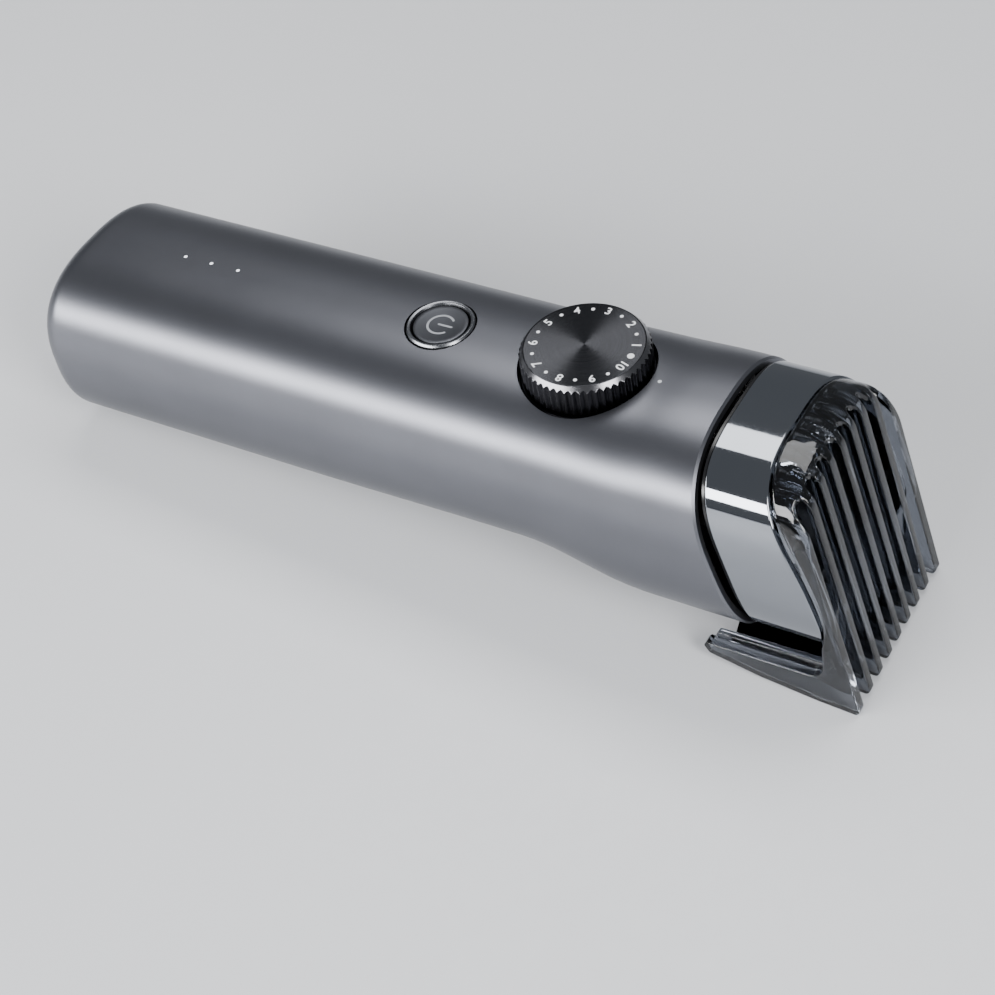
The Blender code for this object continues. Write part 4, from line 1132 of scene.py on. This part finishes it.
class TRIMMER_OT_button(bpy.types.Operator):
    """Build the power button, its ring and its symbol"""

    bl_idname = "trimmer.button"
    bl_label = "Power button"

    def execute(self, context):
        settings = context.scene.trimmer.button
        outer, crown = settings.ring, BUTTON_RING_TOP
        ring = fillet(
            [
                (outer, 0.0146), (outer, crown - 0.0004), (outer - 0.0003, crown),
                (0.00535, crown - 0.0001), (0.0051, crown - 0.00075), (0.0051, 0.0146),
            ],
            [0, 0.0002, 0.0001, 0.0001, 0.0002, 0], 4,
        )
        mesh = closed_mesh("button_ring", [lathe(ring, 128, (BUTTON_X, 0))], 50)
        finish = surface(
            "bright_ring_metal", (0.20, 0.205, 0.22), 1.0, 0.27, 0.03, 0.05, 200.0, 5000.0,
            0.000006, 0.15,
        )
        piece("bright_ring", mesh, finish, "housing", ["button_ring"])
        radius = settings.cap
        dish = np.linspace(0, radius - 0.0003, 12)
        dish_z = 0.01675 + 0.00015 * (dish / (radius - 0.0003)) ** 2
        edge = [(radius - 0.0001, 0.01686), (radius, 0.0167), (radius, 0.0140), (0, 0.0138)]
        profile = np.concatenate([np.stack([dish, dish_z], -1), edge])
        mesh = closed_mesh("button_cap", [lathe(profile, 96, (BUTTON_X, 0))], 40)
        finish = surface(
            "satin_grey", settings.grey, 1.0, 0.34, 0.05, 0.08, 150.0, 7000.0, 0.00001, 0.25
        )
        piece("satin_cap", mesh, finish, "power_button", ["button_cap"])
        self.symbol(settings)
        return {"FINISHED"}

    def symbol(self, settings):
        """An arc open towards the head, and a bar from its middle out through the gap."""
        width, radius = settings.stroke / 2, settings.symbol
        turn = np.radians(np.linspace(44, 316, 61))
        end = np.linspace(0, math.pi, 9)[1:-1]

        def round_end(angle, facing):
            centre = radius * np.array([math.cos(angle), math.sin(angle)])
            spread = angle + facing * end if facing > 0 else angle + math.pi + end
            return centre + width * np.stack([np.cos(spread), np.sin(spread)], -1)

        outer = (radius + width) * np.stack([np.cos(turn), np.sin(turn)], -1)
        inner = (radius - width) * np.stack([np.cos(turn), np.sin(turn)], -1)[::-1]
        arc = np.concatenate([outer, round_end(turn[-1], 1), inner, round_end(turn[0], -1)])
        start, stop = -0.00035, 0.00215
        half_turn = np.linspace(-math.pi / 2, math.pi / 2, 9)
        right = np.stack([stop + width * np.cos(half_turn), width * np.sin(half_turn)], -1)
        left = np.stack([start - width * np.cos(half_turn), -width * np.sin(half_turn)], -1)
        parts = []
        for outline in (arc, np.concatenate([right, left])):
            rows, faces = flat_mark(outline, 0.0, 0.00003, (0, 0), 0.0)
            reach = np.hypot(rows[..., 0], rows[..., 1])
            rows[..., 2] += 0.01675 + 0.00015 * (reach / (settings.cap - 0.0003)) ** 2 - 0.00001
            rows[..., 0] += BUTTON_X
            parts.append((rows, faces))
        mesh = closed_mesh("power_symbol", parts, 30, 1e-7)
        finish = printed("symbol_grey", (0.27, 0.28, 0.30))
        piece("power_symbol", mesh, finish, "power_button")


def sleeve_top(x):
    """Height of the sleeve's ridge at x, read through the stations that lean forwards."""
    station = np.linspace(-0.001, 0.028, 300)
    height = SLEEVE_HALF_HEIGHT + smoothstep(station, 0.010, 0.028) * CROWN_RISE
    reach = station - LEAN * smoothstep(station, 0.009, 0.026) * height
    return float(np.interp(x, reach, height))


class TRIMMER_OT_lights(bpy.types.Operator):
    """Build the three charge lights and the dot beside the dial"""

    bl_idname = "trimmer.lights"
    bl_label = "Charge lights and index dot"

    def execute(self, context):
        finish = lit("frosted_lens", (0.92, 0.95, 1.0), 0.9)
        turn = np.radians(np.linspace(0, 90, 7))
        for number, x in enumerate(LIGHTS_X, 1):
            dome = np.stack([LENS_RADIUS * np.cos(turn), LENS_TOP + 0.00006 * np.sin(turn)], -1)
            profile = np.concatenate([dome, [(0, 0.0152), (LENS_RADIUS, 0.0152)]])
            mesh = closed_mesh(f"lens_{number}", [lathe(profile, 32, (x, 0))])
            replaced = ["light_guide"] if number == 1 else []
            piece(f"light_lens_{number}", mesh, finish, "housing", replaced)
        level = sleeve_top(INDEX_X)
        rows, faces = disc(INDEX_RADIUS, level - 0.00003, 0.00006, (INDEX_X, 0.0), 28)
        mesh = closed_mesh("index_dot", [(rows, faces)], 30, 1e-7)
        finish = printed("index_paint", (0.62, 0.64, 0.67))
        piece("index_dot", mesh, finish, "housing")
        return {"FINISHED"}


# Carried-over solids.


class TRIMMER_OT_inner(bpy.types.Operator):
    """Give every solid that stays its finish"""

    bl_idname = "trimmer.inner"
    bl_label = "Inner pieces"

    def execute(self, context):
        steel = surface(
            "ground_steel", (0.40, 0.41, 0.43), 1.0, 0.24, 0.06, 0.06, 150.0, 1800.0, 0.00001, 0.3,
            (0.15, 3.0, 1.0),
        )
        spring = surface("spring_steel", (0.46, 0.46, 0.47), 1.0, 0.30, 0.05)
        nickel = surface("nickel_plate", (0.60, 0.57, 0.52), 1.0, 0.22, 0.05)
        black = surface("moulded_black", (0.014, 0.014, 0.016), 0.0, 0.42, 0.06, 0.15, 120.0)
        acetal = surface("white_acetal", (0.72, 0.72, 0.70), 0.0, 0.38, 0.06, 0.04)
        rubber = surface("seal_rubber", (0.020, 0.020, 0.021), 0.0, 0.75, 0.1, 0.2)
        ferrite = surface("ferrite", (0.055, 0.055, 0.060), 0.0, 0.55, 0.1, 0.35, 1500.0)
        wrap = surface("cell_wrap", (0.035, 0.12, 0.30), 0.0, 0.32, 0.05, 0.1, 60.0, coat=0.3)
        finishes = {
            steel: ["fixed_blade", "moving_blade", "blade_screw_left", "blade_screw_right"],
            spring: ["blade_spring", "click_spring"],
            nickel: [
                "charging_socket", "battery_tab_front", "battery_tab_rear", "motor_can",
                "motor_shaft",
                *[f"cover_screw_{number}" for number in (1, 2, 3, 4)],
            ],
            black: [
                "inner_frame", "frame_cover", "comb_carriage", "cutter_frame", "motor_end_bell",
                "power_switch",
            ],
            acetal: [
                "blade_carrier", "click_wheel", "dial_shaft", "eccentric", "switch_plunger",
                *[f"charge_light_{number}" for number in (1, 2, 3)],
            ],
            rubber: ["button_seal", "dial_seal", "end_cap_seal"],
            ferrite: ["motor_magnet_lower", "motor_magnet_upper"], wrap: ["battery_cell"],
            board_green("circuit_board_green"): ["circuit_board"],
            wound_copper("wound_copper"): ["motor_rotor"],
        }
        for finish, names in finishes.items():
            for name in names:
                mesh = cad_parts[name].data
                mesh.materials.clear()
                mesh.materials.append(finish)
        return {"FINISHED"}


# Studio.


class TRIMMER_OT_stage(bpy.types.Operator):
    """Lay the floor, hang the lights and stand the camera"""

    bl_idname = "trimmer.stage"
    bl_label = "Studio"

    def execute(self, context):
        settings = context.scene.trimmer.studio
        self.floor(settings)
        self.lights(settings)
        self.camera(context, settings)
        return {"FINISHED"}

    def floor(self, settings):
        """A flat sheet z = level - tilt * x, on which the comb's tip and the rear end rest."""
        reach = np.linspace(-4, 4, 9)
        x, y = np.meshgrid(reach, reach, indexing="ij")
        points = np.stack([x, y, FLOOR_LEVEL - FLOOR_TILT * x], axis=-1) - ORIGIN
        mesh = closed_mesh("studio_floor", [grid(points, False, False)])
        finish = surface(
            "pale_floor", settings.floor, 0.0, 0.42, 0.04, 0.015, 6.0, 300.0, 0.00002, 0.05
        )
        floor = bpy.data.objects.new("studio_floor", mesh)
        bpy.context.scene.collection.objects.link(floor)
        mesh.materials.append(finish)

    def lights(self, settings):
        for name, place, target, size, power in (
            ("long_softbox", (-0.34, -0.60, 0.36), (-0.03, 0, 0.02), (0.9, 0.24), settings.key),
            ("top_softbox", (0.0, 0.35, 0.75), (0, 0, 0.02), (0.8, 0.3), settings.key * 0.35),
            ("head_softbox", (0.62, -0.28, 0.42), (0.05, 0, 0.02), (0.3, 0.4), settings.key * 0.5),
        ):
            lamp = bpy.data.lights.new(name, "AREA")
            lamp.shape = "RECTANGLE"
            lamp.size, lamp.size_y = size
            lamp.energy = power
            obj = bpy.data.objects.new(name, lamp)
            obj.location = place
            facing = Vector(target) - Vector(place)
            obj.rotation_euler = facing.to_track_quat("-Z", "Y").to_euler()
            bpy.context.scene.collection.objects.link(obj)
        world = bpy.data.worlds.new("studio_air")
        world.use_nodes = True
        backdrop = world.node_tree.nodes["Background"]
        backdrop.inputs["Color"].default_value = (0.80, 0.84, 0.90, 1)
        backdrop.inputs["Strength"].default_value = settings.sky
        bpy.context.scene.world = world

    def camera(self, context, settings):
        lens = bpy.data.cameras.new("camera")
        lens.lens = settings.lens
        lens.sensor_width = 36
        lens.clip_start = 0.01
        lens.clip_end = 50
        camera = bpy.data.objects.new("camera", lens)
        right = Vector(CAMERA_RIGHT).normalized()
        back = Vector(CAMERA_BACK).normalized()
        up = back.cross(right)
        turn = Matrix((right, up, back)).transposed().to_4x4()
        camera.matrix_world = Matrix.Translation(CAMERA_PLACE) @ turn
        bpy.context.scene.collection.objects.link(camera)
        context.scene.camera = camera


class TRIMMER_PT_pieces(bpy.types.Panel):
    """Lists the trimmer's pieces in the sidebar"""

    bl_idname = "TRIMMER_PT_pieces"
    bl_label = "Beard trimmer"
    bl_space_type = "VIEW_3D"
    bl_region_type = "UI"
    bl_category = "Trimmer"

    def draw(self, context):
        settings = context.scene.trimmer
        for operator, group in BUILD_ORDER:
            self.layout.operator(operator.bl_idname, text=operator.bl_label)
            if group:
                column = self.layout.column(align=True)
                for name in getattr(settings, group).bl_rna.properties.keys():
                    if name not in ("rna_type", "name"):
                        column.prop(getattr(settings, group), name)


BUILD_ORDER = (
    (TRIMMER_OT_sleeve, "sleeve"), (TRIMMER_OT_rear, ""), (TRIMMER_OT_head, "head"),
    (TRIMMER_OT_comb, "comb"), (TRIMMER_OT_dial, "dial"), (TRIMMER_OT_button, "button"),
    (TRIMMER_OT_lights, ""), (TRIMMER_OT_inner, ""), (TRIMMER_OT_stage, "studio"),
)
GROUPS = (
    SleeveSettings, HeadSettings, CombSettings, DialSettings, ButtonSettings, StudioSettings,
    TrimmerSettings,
)
CLASSES = (*GROUPS, *[operator for operator, _ in BUILD_ORDER], TRIMMER_PT_pieces)


def register():
    for kind in CLASSES:
        bpy.utils.register_class(kind)
    bpy.types.Scene.trimmer = bpy.props.PointerProperty(
        type=TrimmerSettings, name="Trimmer", description="Everything that can be changed"
    )


def unregister():
    del bpy.types.Scene.trimmer
    for kind in reversed(CLASSES):
        bpy.utils.unregister_class(kind)


def main():
    register()
    for operator, _ in BUILD_ORDER:
        group, name = operator.bl_idname.split(".")
        getattr(getattr(bpy.ops, group), name)()


if __name__ == "__main__":
    main()
